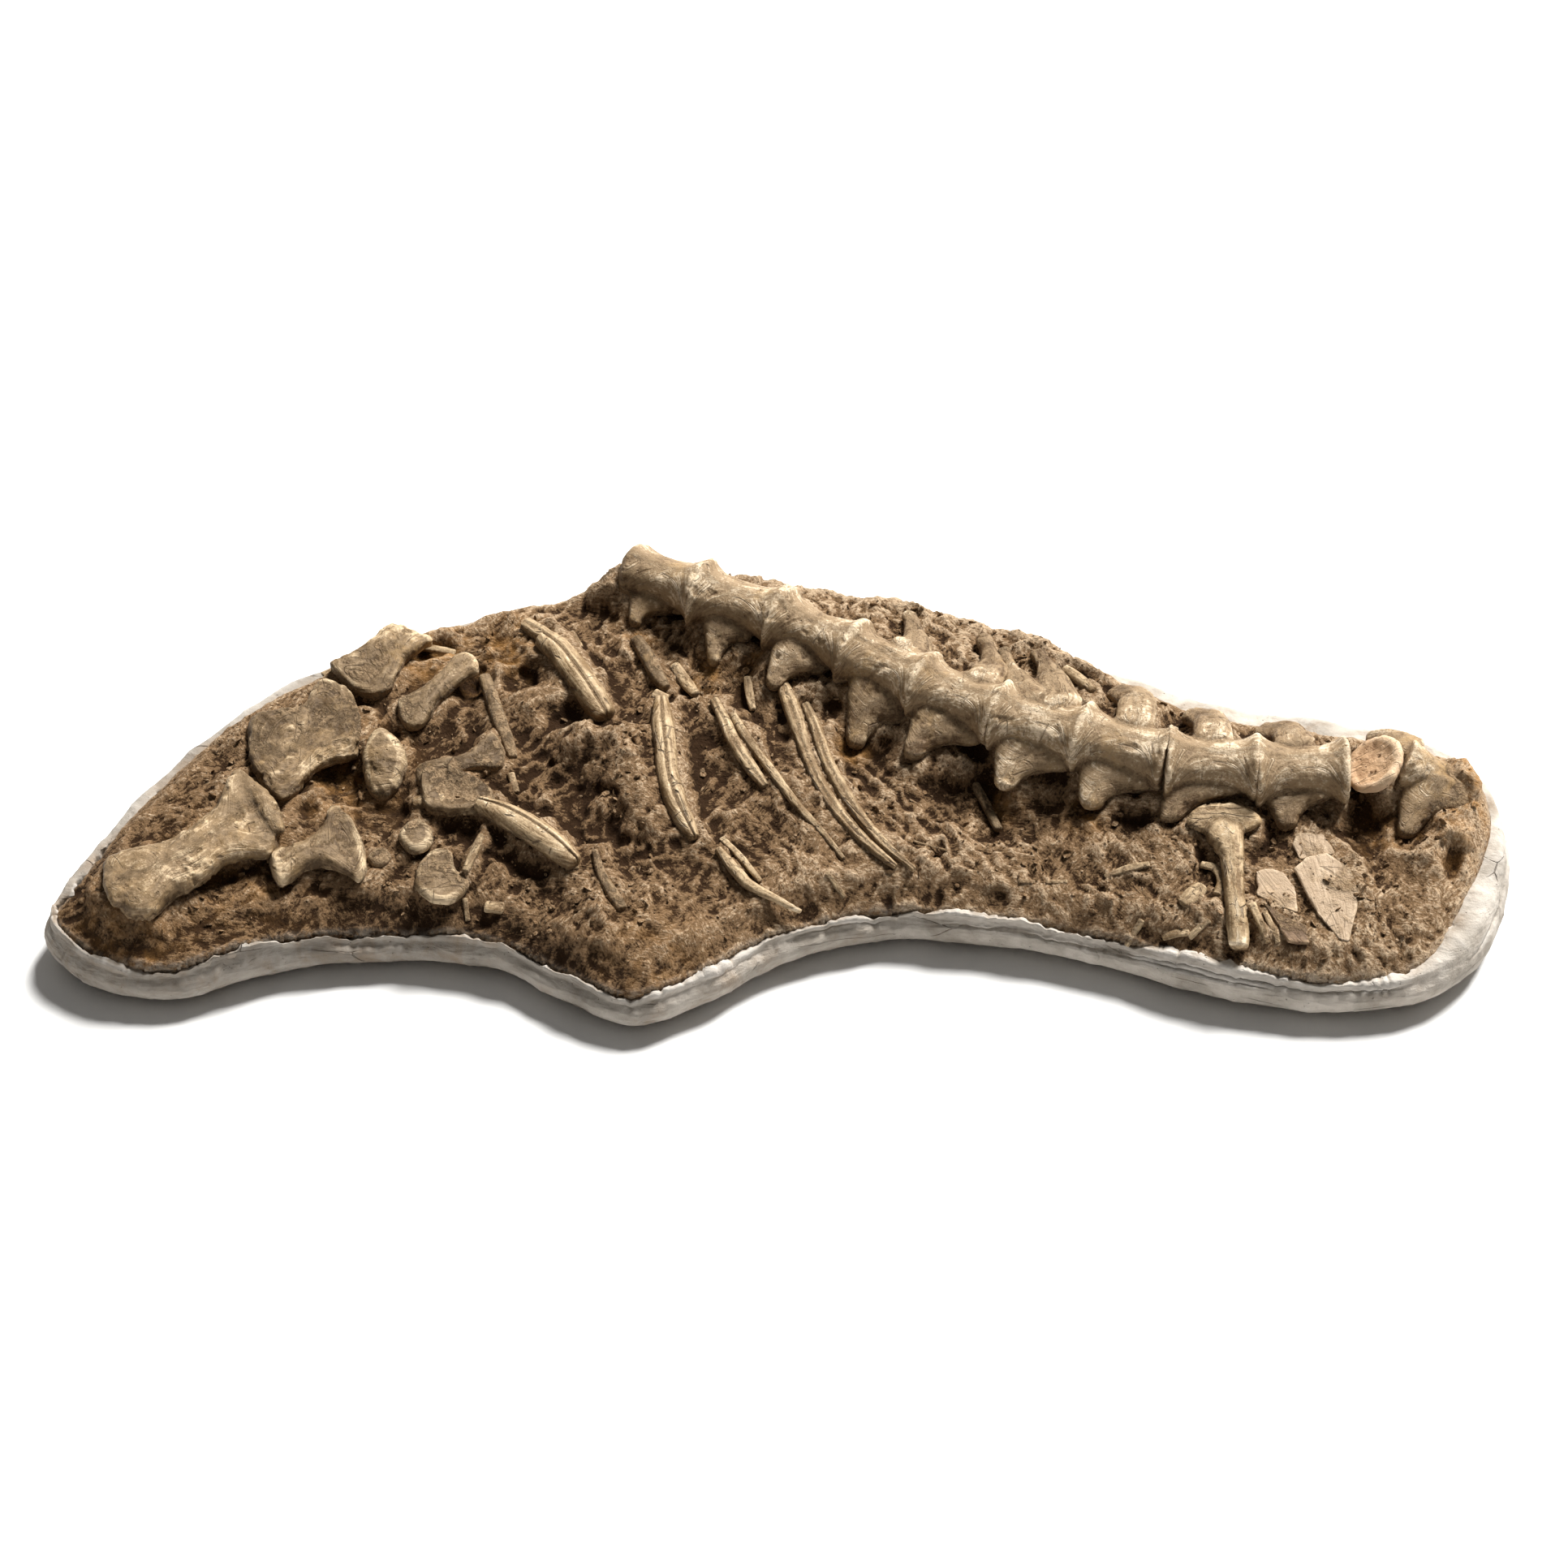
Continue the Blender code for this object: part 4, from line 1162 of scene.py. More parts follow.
# --- plaster
@dataclass
class PlasterJacket:
    """The hand-laid plaster shell: flat foot, bulging wall, torn lip and inner tray."""

    outline: Outline
    columns: int = 1400
    rows: int = 62
    foot_inset: float = 0.034
    belly_height: float = 0.024
    lip_inset: float = 0.007
    tray_inset: float = 0.052
    tray_floor: float = 0.014
    split_depth: float = 0.004
    # Start and length of foot, wall, lip, inner fall and tray as shares of the section
    stages: Rows = ((0.0, 0.26), (0.26, 0.3), (0.56, 0.22), (0.78, 0.12), (0.9, 0.1))

    def profile(self, share: Numbers, lip: Numbers, wide: Numbers) -> tuple[Numbers, Numbers]:
        """Section of the shell from the foot round the lip to the tray.

        Args:
            share: 0 at the foot to 1 at the tray's floor.
            lip: lip height.
            wide: lip width.

        Returns:
            The inset from the widest line and the height.
        """
        turn, wall, over, down, last = (np.clip((share - start) / length, 0, 1)
                                        for start, length in self.stages)
        turn = turn * math.pi / 2
        climb = ease(share, 0.26, 0.56)
        inset = self.foot_inset * (1 - np.sin(turn)) + self.lip_inset * climb * climb
        inset = inset + wide * over + 0.003 * down
        height = self.belly_height * (1 - np.cos(turn))
        height = height + (lip - 0.004 - self.belly_height) * wall
        height = height + 0.004 * np.sin(np.clip(over * 6.0, 0, 1) * math.pi / 2)
        height = height - 0.0012 * ease(over, 0.8, 1.0) - 0.02 * down
        inset = inset + np.maximum(self.tray_inset - inset, 0.0) * last
        height = height + (self.tray_floor - height) * last
        return inset, height

    def build(self) -> Mesh:
        """Lay the shell.

        Returns:
            The plaster on the plan, with its layers for ground-in rock and painted shade, for
            proud edges, and for painted shade towards the left.
        """
        line, inward = self.outline.walked(self.columns)
        mesh, grid = flat_grid("plaster", self.columns, self.rows)
        column = np.round((grid[:, 0] + 1.0) * 0.5 * self.columns).astype(int) % self.columns
        share = (grid[:, 1] + 1.0) * 0.5
        base = line[column]
        ring = at_height(base)
        ragged = Grit(31).layered(ring, 0.03, 5, 0.7)
        narrow = 0.4 + 0.6 * ease(base[:, 3], 0.013, 0.007)
        lip = base[:, 2] + 0.0064 * narrow * Grit(32).layered(ring, 0.03, 5, 0.66)
        lip += 0.0022 * Grit(37).layered(ring, 0.09, 2)
        wide = np.maximum(base[:, 3] * (1.0 + 0.45 * ragged) + 0.0045 * ragged, 0.0012)
        inset, height = self.profile(share, lip, wide)
        inset = inset + self.splits(ring, share, height)
        points = np.column_stack((base[:, :2] + inward[column] * inset[:, None], height))
        settled = neighbour_mean(mesh, points, 8)
        wavy = ease(base[:, 3], 0.008, 0.014)[:, None] * ease(share, 0.4, 0.55)[:, None]
        points += (settled - points) * wavy * ease(share, 0.78, 0.72)[:, None]
        write_points(mesh, points)
        normals = read_normals(mesh)
        free = ease(height, 0.0, 0.012) * ease(share, 0.93, 0.8)
        folds, seams = Grit(33).scoops(points[:, :2] + 0.4 * points[:, 2:3], 0.05)
        swell = 0.0026 * Grit(34).layered(points, 0.085, 2) + 0.0013 * folds
        swell += 0.0009 * Grit(35).layered(points * (1.0, 1.0, 2.2), 0.02, 4, 0.6)
        swell += 0.0004 * ease(seams, 0.2, 0.0)
        write_points(mesh, points + normals * (swell * free)[:, None])
        near = ease(share, 0.58, 0.74) + 0.45 * ease(height, 0.012, 0.0)
        # Painted shade: browner on the front wall, most at the left.
        near += (0.15 + 0.35 * ease(points[:, 0], -0.1, -0.45)) * ease(points[:, 1], -0.06, -0.14)
        patchy = ease(Grit(36).layered(points, 0.06, 5, 0.65), -0.15, 0.5)
        write_layer(mesh, "brown_wash", np.clip(near + 0.75 * patchy, 0, 1))
        # Painted shade: darker towards the left, away from the key lamp.
        write_layer(mesh, "tint", 0.58 * ease(points[:, 0], 0.25, -0.45))
        weld(mesh, fill=True)
        write_wear_and_shading(mesh, 0.0009)
        return mesh

    def splits(self, ring: Numbers, share: Numbers, height: Numbers) -> Numbers:
        """Open level splits between the plaster's layers on parts of the wall.

        Args:
            ring: place of each column.
            share: 0 at the foot to 1 at the tray's floor.
            height: height on the wall.

        Returns:
            How far each corner is cut in.
        """
        cut = np.zeros(len(height))
        for number, level in enumerate((0.44, 0.52)):
            wave = 0.035 * Grit(41 + number).layered(ring, 0.14, 3)
            strong = ease(Grit(44 + number).layered(ring, 0.2, 3), -0.05, 0.3)
            cut += self.split_depth * strong * np.exp(-((share - level - wave) / 0.009) ** 2)
        return cut * ease(height, 0.02, 0.03)


def weld(mesh: Mesh, fill: bool = False) -> None:
    """Close a rolled skin's seam and poles and face it outward.

    Args:
        mesh: the skin.
        fill: also close open rings with one face each.
    """
    skin = bmesh.new()
    skin.from_mesh(mesh)
    bmesh.ops.remove_doubles(skin, verts=skin.verts, dist=WELD_GAP)
    if fill:
        for level in (False, True):
            border = [edge for edge in skin.edges
                      if edge.is_boundary and (edge.verts[0].co.z > 0.005) == level]
            bmesh.ops.triangle_fill(skin, edges=border, use_beauty=False)
    bmesh.ops.recalc_face_normals(skin, faces=skin.faces)
    put_back(skin, mesh)


# --- bones
BED_SLOPE = (0.0, -0.125, 1.0)


def rounding(share: Numbers) -> Numbers:
    """Size of a rounded end, from 0 at its tip to 1 where it is full."""
    return np.sqrt(np.clip(1 - (1 - np.clip(share, 0, 1)) ** 2, 0, 1))


def rolled(middle: Numbers, side: Numbers, above: Numbers, thick: Numbers, closing: Numbers,
           gone: Numbers, sides: int, square: float, dish: Numbers,
           grooves: Rows = ()) -> Mesh:
    """Roll a grid round a row of cross-sections.

    Args:
        middle: middle of each section.
        side: from the middle to the section's edge.
        above: upward direction of each section.
        thick: half thickness of each section.
        closing: size share of each section, 0 at closed ends.
        gone: distance along the row.
        sides: faces round a section.
        square: 2 for an oval section, more for a squarer one.
        dish: depth of the hollow on top as a share of the half thickness.
        grooves: place across, depth and spread of grooves along the top.

    Returns:
        The closed skin with its "grain" layer.
    """
    rings = len(middle) - 1
    mesh, grid = flat_grid("bar", rings, sides)
    ring = np.round((grid[:, 0] + 1.0) * 0.5 * rings).astype(int)
    angle = grid[:, 1] * math.pi - math.pi / 2
    across = np.sign(np.cos(angle)) * np.abs(np.cos(angle)) ** (2.0 / square)
    upward = np.sign(np.sin(angle)) * np.abs(np.sin(angle)) ** (2.0 / square)
    lift = upward * thick[ring] * closing[ring]
    top = np.clip(upward, 0, 1) * closing[ring]
    lift -= top * dish[ring] * thick[ring] * (1 - across ** 2)
    for place, deep, spread in grooves:
        lift -= top * deep * np.exp(-((across - place) / spread) ** 2)
    write_points(mesh, middle[ring] + side[ring] * (across * closing[ring])[:, None]
                 + above[ring] * lift[:, None])
    girth = np.linalg.norm(side, axis=1) * 0.7 + thick * 0.3
    write_layer(mesh, "grain", np.column_stack((gone[ring], angle * girth[ring],
                                                girth[ring] * 0.0)))
    weld(mesh)
    return mesh


@dataclass(frozen=True)
class Shaft:
    """Bar of bone through stations of x, y, z and half width."""

    stations: Rows
    thick: float
    follow: float = 0.5
    square: float = 2.2
    caps: tuple[float, float] = (0.6, 0.6)
    grooves: Rows = ()
    dish: float = 0.0
    up: Row = BED_SLOPE
    step: float = 0.0016

    def line(self, count: int) -> tuple[Numbers, Numbers]:
        """Walk the middle line, closer together near the ends.

        Args:
            count: number of places.

        Returns:
            Rows of x, y, z and half width, and the distance gone at each.
        """
        fine = smooth_line(np.array(self.stations), 30)
        steps = np.sqrt((np.diff(fine[:, :3], axis=0) ** 2).sum(axis=1))
        gone = np.concatenate(([0.0], np.cumsum(steps)))
        share = np.linspace(0.0, 1.0, count)
        share = share - 0.75 * np.sin(math.tau * share) / math.tau
        rows = np.column_stack([np.interp(share * gone[-1], gone, column)
                                for column in fine.T])
        return rows, share * gone[-1]

    def skin(self) -> Mesh:
        """Roll a grid round the line.

        Returns:
            The bar's closed skin with its "grain" layer.
        """
        length = self.line(3)[1][-1]
        widest = max(row[3] for row in self.stations)
        rings = int(np.clip(length / self.step * 1.2, 20, 220))
        sides = int(np.clip((widest + self.thick) * 3.3 / self.step, 14, 110))
        rows, gone = self.line(rings + 1)
        ahead = np.gradient(rows[:, :3], axis=0)
        ahead /= np.linalg.norm(ahead, axis=1)[:, None]
        side = np.cross(np.array(self.up), ahead)
        side /= np.linalg.norm(side, axis=1)[:, None]
        above = np.cross(ahead, side)
        wide = np.maximum(rows[:, 3], 0.0004)
        thick = self.thick * (wide / widest) ** self.follow
        closing = np.ones(rings + 1)
        for reach, away in ((self.caps[0] * wide[0], gone),
                            (self.caps[1] * wide[-1], gone[-1] - gone)):
            closing *= rounding(away / reach)
        return rolled(rows[:, :3], side * wide[:, None], above, thick, closing, gone,
                      sides, self.square, np.full(len(rows), self.dish), self.grooves)

    def footprint(self) -> Numbers:
        """Rows of x, y, axis height and half width that the rock meets."""
        rows = self.line(max(8, int(self.line(3)[1][-1] / 0.004)))[0]
        return np.column_stack((rows[:, :3], rows[:, 3] * 0.88))


@dataclass(frozen=True)
class Blade:
    """Flat bone drawn by pairs of edge points.

    Each row is x and y of one edge, x and y of the other, height, half thickness and dish.
    """

    pairs: Rows
    square: float = 3.0
    cap: float = 0.006
    up: Row = BED_SLOPE
    step: float = 0.0019

    def sections(self, count: int) -> tuple[Numbers, Numbers, Numbers, Numbers]:
        """Walk the bone at even steps.

        Args:
            count: number of sections.

        Returns:
            Middles, edge offsets, rows of half thickness and dish, and distances gone.
        """
        fine = smooth_line(np.array(self.pairs), 16)
        middle = (fine[:, :2] + fine[:, 2:4]) * 0.5
        gone = np.concatenate(([0.0], np.cumsum(np.hypot(*np.diff(middle, axis=0).T))))
        wanted = np.linspace(0.0, gone[-1], count)
        rows = np.column_stack([np.interp(wanted, gone, column) for column in fine.T])
        half = (rows[:, 2:4] - rows[:, :2]) * 0.5
        rise = -(half @ np.array(self.up[:2])) / self.up[2]
        middle = np.column_stack(((rows[:, :2] + rows[:, 2:4]) * 0.5, rows[:, 4]))
        return middle, np.column_stack((half, rise)), np.maximum(rows[:, 5:], 0.0), wanted

    def skin(self) -> Mesh:
        """Roll a grid round the sections.

        Returns:
            The bone's closed skin with its "grain" layer.
        """
        gone = self.sections(3)[3][-1]
        widest = max(math.dist(row[:2], row[2:4]) for row in self.pairs)
        rings = int(np.clip(gone / self.step, 12, 160))
        middle, side, body, gone = self.sections(rings + 1)
        ends = np.minimum(gone, gone[-1] - gone)
        closing = rounding(ends / self.cap)
        above = np.tile(np.array(self.up) / np.linalg.norm(self.up), (len(middle), 1))
        return rolled(middle, side, above, body[:, 0], closing, gone,
                      int(np.clip(widest * 2.4 / self.step, 20, 130)), self.square, body[:, 1])

    def footprint(self) -> Numbers:
        """Work out where the rock meets the bone.

        Returns:
            Rows of x, y, height and half width.
        """
        middle, side, *_ = self.sections(max(6, int(self.sections(3)[3][-1] / 0.006)))
        reach = np.linalg.norm(side[:, :2], axis=1) * 0.3
        return np.vstack([np.column_stack((middle + side * share, reach))
                          for share in (-0.62, -0.21, 0.21, 0.62)])


@dataclass(frozen=True)
class Slab:
    """Flat bone drawn by its corners on the plan."""

    corners: Rows
    height: float
    thick: float
    dome: float = 0.0
    dish: float = 0.0
    up: Row = BED_SLOPE
    rounded: bool = False
    ragged: float = 0.03
    middle: Row = ()
    apex: Row = ()
    sides: int = 110
    rings: int = 44

    def centre(self) -> Numbers:
        """Middle of the corners, or the given middle."""
        return np.array(self.middle or np.mean(self.corners, axis=0))

    def radius(self, angle: Numbers) -> Numbers:
        """Measure from the middle to the outline.

        Args:
            angle: directions on the plan in radians.

        Returns:
            The distance in each direction.
        """
        drawn = np.array(self.corners)
        if self.rounded:
            ring = smooth_line(drawn, 12, closed=True)[:-1]
        else:
            share = np.linspace(0, 1, 12, endpoint=False)[:, None, None]
            ring = (drawn * (1 - share) + np.roll(drawn, -1, axis=0) * share)
            ring = ring.transpose(1, 0, 2).reshape(-1, 2)
        away = ring - self.centre()
        turned = np.arctan2(away[:, 1], away[:, 0])
        order = np.argsort(turned)
        return np.interp(angle, turned[order], np.hypot(*away.T)[order], period=math.tau)

    def skin(self) -> Mesh:
        """Roll a grid from the top's middle over the edge to the underside.

        Returns:
            The slab's closed skin with its "grain" layer.
        """
        mesh, grid = flat_grid("slab", self.rings, self.sides)
        share = (grid[:, 0] + 1.0) * 0.5
        angle = grid[:, 1] * math.pi
        middle = self.centre()
        reach = self.radius(angle)
        edge = np.clip(self.thick * 0.5 / reach, 0.02, 0.5)
        turn = np.clip((share - 0.5) / 0.14, -0.5, 0.5) * math.pi
        flat = np.clip((0.5 - np.abs(share - 0.5)) / 0.43, 0, 1)
        rho = flat * (1 - edge) + edge * np.cos(turn) * (flat >= 0.9999)
        level = -np.sin(turn) * self.thick * 0.5
        ring = at_height(middle + 0.02 * np.column_stack((np.cos(angle), np.sin(angle))))
        rho = rho * (1 + self.ragged * Grit(51).layered(ring, 0.008, 3))
        level += (share < 0.5) * (self.dome * (1 - rho ** 2)
                                  - self.dish * (1 - np.clip(rho / 0.93, 0, 1) ** 4))
        east, north = np.cos(angle) * reach * rho, np.sin(angle) * reach * rho
        up = np.array(self.up) / np.linalg.norm(self.up)
        rise = -(up[0] * east + up[1] * north) / up[2]
        points = np.column_stack((middle[0] + east, middle[1] + north, self.height + rise))
        write_points(mesh, points + up * level[:, None])
        start = np.array(self.apex or (middle[0] - 0.5, middle[1]))
        away = points[:, :2] - start
        far = np.hypot(*away.T)
        spread = np.arctan2(away[:, 1], away[:, 0]) * np.median(far)
        write_layer(mesh, "grain", np.column_stack((far, spread, level)))
        weld(mesh)
        return mesh

    def footprint(self) -> Numbers:
        """Work out where the rock meets the bone.

        Returns:
            Rows of x, y, height and half width.
        """
        middle = self.centre()
        angle = np.linspace(0, math.tau, 18, endpoint=False)
        reach = self.radius(angle)
        east, north = np.cos(angle) * reach * 0.6, np.sin(angle) * reach * 0.6
        rise = -(self.up[0] * east + self.up[1] * north) / self.up[2]
        rows = np.column_stack((middle[0] + east, middle[1] + north, self.height + rise,
                                reach * 0.36))
        inner = np.array([[middle[0], middle[1], self.height, reach.min() * 0.85]])
        return np.vstack((rows, inner))


def disc_corners(middle: Row, radius: float, up: Row, count: int = 28) -> Rows:
    """Plan corners of a round disc that faces any way.

    Args:
        middle: the disc's middle, x, y and z.
        radius: its radius.
        up: the way it faces.
        count: number of corners.

    Returns:
        The corners' x and y.
    """
    facing = Vector(up).normalized()
    first = facing.orthogonal().normalized()
    second = facing.cross(first)
    turns = [math.tau * step / count for step in range(count)]
    return tuple((middle[0] + radius * (math.cos(turn) * first.x + math.sin(turn) * second.x),
                  middle[1] + radius * (math.cos(turn) * first.y + math.sin(turn) * second.y))
                 for turn in turns)


@dataclass(frozen=True)
class Fossil:
    """One bone: its shapes, finish and the way it lies in the rock."""

    name: str
    shapes: tuple["Shaft | Slab | Blade", ...]
    cloth: Cloth
    drop: float = 0.004
    reach: float = 0.014
    pull: float = 1.0
    fuse: float = 0.0
    rough: float = 0.0005
    chip: float = 0.0
    replaces: bool = True

    def seats(self) -> list[Seat]:
        """Beds that the rock keeps for this bone."""
        return [Seat(shape.footprint(), self.drop, self.reach, self.pull)
                for shape in self.shapes]

    def fused(self, mesh: Mesh) -> Mesh:
        """Melt overlapping skins into one and soften the joins.

        Args:
            mesh: the overlapping skins.

        Returns:
            One closed skin with the grain of the nearest old one.
        """
        holder = show("melting", mesh)
        melt = holder.modifiers.new("melt", "REMESH")
        melt.mode = "VOXEL"
        melt.voxel_size = self.fuse
        soften = holder.modifiers.new("soften", "SMOOTH")
        soften.factor = 0.5
        soften.iterations = 3
        graph = bpy.context.evaluated_depsgraph_get()
        made = bpy.data.meshes.new_from_object(holder.evaluated_get(graph))
        bpy.data.objects.remove(holder)
        grain = read_rows(mesh.attributes["grain"].data, "vector")
        found = nearest_rows(read_points(mesh), read_points(made))
        write_layer(made, "grain", neighbour_mean(made, grain[found], 4))
        made.shade_smooth()
        return made

    def make(self, rock: RockSurface) -> Mesh:
        """Shape the bone and note where the rock still clings to it.

        Args:
            rock: the carved rock, for its height round the bone.

        Returns:
            The bone's mesh on the plan.
        """
        joined = bmesh.new()
        for shape in self.shapes:
            joined.from_mesh(shape.skin())
        mesh = mesh_from(joined, self.name)
        if self.fuse:
            mesh = self.fused(mesh)
            mesh.name = self.name
        points = read_points(mesh)
        normals = read_normals(mesh)
        lift = self.rough * (Grit(61).layered(points, 0.022, 3)
                             + 0.6 * Grit(62).layered(points, 0.0065, 3))
        lift -= self.chip * ease(Grit(63).layered(points, 0.011, 3), 0.35, 0.75)
        write_points(mesh, points + normals * lift[:, None])
        points = read_points(mesh)
        write_wear_and_shading(mesh, 0.0007 if self.fuse else 0.0005)
        above = np.clip(points[:, 2] - rock.height_at(points), -0.05, 0.05)
        # Height above the rock: rock is laid on the buried parts, and the finish paints light high
        # up and shade low down from it.
        write_layer(mesh, "bed", above)
        write_layer(mesh, "rust", rust_at(points) * (self.cloth is not Cloth.RIB))
        return mesh


def nearest_rows(known: Numbers, wanted: Numbers) -> Numbers:
    """Find the nearest known point for each wanted one.

    Args:
        known: rows of three.
        wanted: rows of three.

    Returns:
        The index of the nearest known row for each.
    """
    tree = KDTree(len(known))
    for number, row in enumerate(known.tolist()):
        tree.insert(row, number)
    tree.balance()
    return np.array([tree.find(row)[1] for row in wanted.tolist()], dtype=np.int64)


@dataclass(frozen=True)
class Vertebra:
    """Spool-shaped body, the process that reaches down from it and the broken arch behind."""

    number: int
    left: Row
    right: Row
    tip: Row
    radius: float = 0.03
    waist: float = 0.8
    root: float = 0.026
    tip_wide: float = 0.0095
    arch: tuple[Rows, ...] = ()
    reach_out: float = 0.008
    profile: Rows = ((0.0, 1.05), (0.04, 1.15), (0.08, 1.1), (0.14, 0.95),
                                (0.27, 0.81), (0.5, 1.0), (0.72, 0.79), (0.85, 0.89),
                                (0.93, 1.04), (0.97, 1.05), (1.0, 0.98))

    def body(self) -> Shaft:
        """Shape the spool of the body.

        Returns:
            A round bar through the profile.
        """
        start, end = Vector(self.left), Vector(self.right)
        ahead = (end - start).normalized()
        start -= ahead * self.reach_out
        end += ahead * self.reach_out
        rows = []
        for share, size in self.profile:
            wide = self.radius * (self.waist * 0.96 if share == 0.5 else size)
            rows.append((*start.lerp(end, share), wide))
        return Shaft(tuple(rows), self.radius, follow=1.0, square=2.0, caps=(0.05, 0.05),
                     step=0.0022)

    def process(self) -> Blade:
        """Shape the wing of bone from the body's side down to its tip.

        Returns:
            A blade that narrows to the tip.
        """
        left, right, tip = (np.array(place) for place in (self.left, self.right, self.tip))
        along = (right - left)[:2] / np.linalg.norm((right - left)[:2])
        start = left[:2] - along * self.reach_out
        rows = []
        for share, size in ((0.0, 1.0), (0.3, 1.0), (0.44, 0.9), (0.52, 0.72), (0.6, 0.54),
                            (0.72, 0.4), (0.84, 0.31), (0.94, 0.25), (1.03, 0.15)):
            near = start + (tip[:2] - start) * share - along * self.tip_wide * share
            wide = self.root * 2.7 * size
            height = left[2] + (tip[2] - left[2]) * share - 0.002
            rows.append((*near, *(near + along * wide), height,
                         0.0155 - 0.0085 * min(share, 1.0), 0.12))
        return Blade(tuple(rows), 2.3, up=(0.0, -0.42, 1.0), step=0.0022)

    def fossil(self) -> Fossil:
        """Put the vertebra together.

        Returns:
            The body, process and arch as one bone.
        """
        arch = tuple(Shaft(self.rooted(rows), 0.008, follow=0.2, square=2.4, step=0.0022)
                     for rows in self.arch)
        return Fossil(f"vertebra_{self.number:02d}", (self.body(), self.process(), *arch),
                      Cloth.VERTEBRA, fuse=0.0015, rough=0.0007, chip=0.001)

    def rooted(self, rows: Rows) -> Rows:
        """Run the arch's last station into the top of the body.

        Args:
            rows: the stations of a stub of the arch.

        Returns:
            The stations with the last one moved.
        """
        left, right = Vector(self.left), Vector(self.right)
        share = (rows[-1][0] - left.x) / (right.x - left.x)
        place = left.lerp(right, min(max(share, 0.15), 0.85))
        return (*rows[:-1], (place.x, place.y + self.radius * 0.35,
                             place.z + self.radius * 0.55, rows[-1][3]))

    def beds(self) -> list[Seat]:
        """Leave the body free in front and the process on a low web of rock.

        Returns:
            Beds of the body, process and arch.
        """
        body = self.body().footprint()
        body[:, 3] *= 0.86
        process = self.process().footprint()
        seats = [Seat(body, self.radius * 0.34, 0.024, 0.9), Seat(process, 0.005, 0.02)]
        seats += [Seat(Shaft(rows, 0.006).footprint(), 0.005, 0.02, 0.9) for rows in self.arch]
        return seats


BACKBONE = (
    Vertebra(1, *mm((-128, 233, 122), (-73, 204, 127), (-126, 178, 107)), radius=0.0285,
        root=0.018, tip_wide=0.01, profile=((0.0, 0.8), (0.06, 0.96), (0.14, 0.98), (0.27, 0.86),
        (0.5, 1.0), (0.72, 0.8), (0.85, 0.9), (0.94, 1.04), (1.0, 0.98))),
    Vertebra(2, *mm((-64, 199, 127), (-1, 171, 127), (-55, 132.5, 102)), root=0.019, waist=0.775,
        tip_wide=0.0085),
    Vertebra(3, *mm((8, 165, 125), (65, 130, 125), (-2, 100, 104)), root=0.022, waist=0.72),
    Vertebra(4, *mm((73, 123, 123), (126, 90, 123), (70, 42, 88)), root=0.027, tip_wide=0.01,
        waist=0.82, arch=(mm((120, 183, 116, 7), (124, 155, 122, 9), (124, 128, 127, 17),
        (110, 108, 128, 18)),)),
    Vertebra(5, *mm((135, 84, 121), (193, 51, 121), (120, 20, 96)),
        arch=(mm((186, 152, 118, 8), (191, 126, 122, 8), (192, 100, 126, 15),
        (180, 74, 128, 18)),)),
    Vertebra(6, *mm((202, 48, 119), (265, 23, 119), (201, -16, 94)), root=0.028, tip_wide=0.0098,
        arch=(mm((204, 134, 119, 7), (208, 108, 121, 8), (215, 84, 125, 14), (230, 56, 126, 18)),
        mm((232, 126, 124, 8), (240, 108, 126, 8), (246, 82, 127, 16), (250, 54, 127, 24)))),
    Vertebra(7, *mm((274, 22, 117), (339, -2, 117), (275, -38, 92)), root=0.029, tip_wide=0.01,
        arch=(mm((301, 92, 106, 10), (311, 78, 115, 13), (320, 60, 124, 17),
        (315, 34, 124, 18)),)),
    Vertebra(8, *mm((349, -6, 116), (416, -13, 116), (345, -56, 94)), root=0.029, tip_wide=0.01,
        arch=(mm((367, 66, 103, 10), (376, 53, 111, 12), (384, 38, 120, 16),
        (384, 16, 122, 18)),)),
    Vertebra(9, *mm((426, -14, 113), (494, -14, 113), (449, -62, 90)), root=0.025, tip_wide=0.0098,
        arch=(mm((430, 50, 98, 11), (440, 40, 106, 12), (452, 28, 116, 16), (458, 8, 119, 18)),)),
    Vertebra(10, *mm((556, -6, 109), (600, -19, 92), (552, -66, 84)), profile=((0.0, 0.98),
        (0.05, 1.05), (0.12, 1.0), (0.28, 0.86), (0.5, 1.0), (0.78, 0.8), (0.92, 0.78),
        (1.0, 0.7)), radius=0.0245, root=0.024, waist=0.76,
        arch=(mm((525, 38, 98, 8), (535, 33, 106, 10), (546, 22, 112, 14), (562, 4, 107, 18)),)),
)

CUP_FACING = (-0.6, -0.1, 0.794)
CUP_MIDDLE = (0.5255, -0.01, 0.1165)
DOUBLE = ((0.05, 0.003, 0.1),)
LOW_DOUBLE = ((0.25, 0.003, 0.09),)
FLUTED = ((-0.25, 0.0009, 0.22),)


def rib(number: int, rows: Rows, cloth: Cloth = Cloth.RIB,
        grooves: Rows = ()) -> Fossil:
    """One rib or piece of rib.

    Args:
        number: the rib's number.
        rows: stations of x, y, z and half width.
        cloth: its finish.
        grooves: place across, depth and spread of grooves along the top.

    Returns:
        The rib.
    """
    widest = max(row[3] for row in rows)
    bar = Shaft(rows, widest * 0.85, caps=(0.35, 0.5), step=0.0012, grooves=grooves)
    return Fossil(f"rib_{number:02d}", (bar,), cloth, drop=0.002, reach=0.022,
                  rough=0.0003, chip=0.0003)


def limb(name: str, *shapes: "Shaft | Slab | Blade", **lying: float) -> Fossil:
    """A bone of the paddle."""
    return Fossil(name, shapes, Cloth.LIMB, **lying)


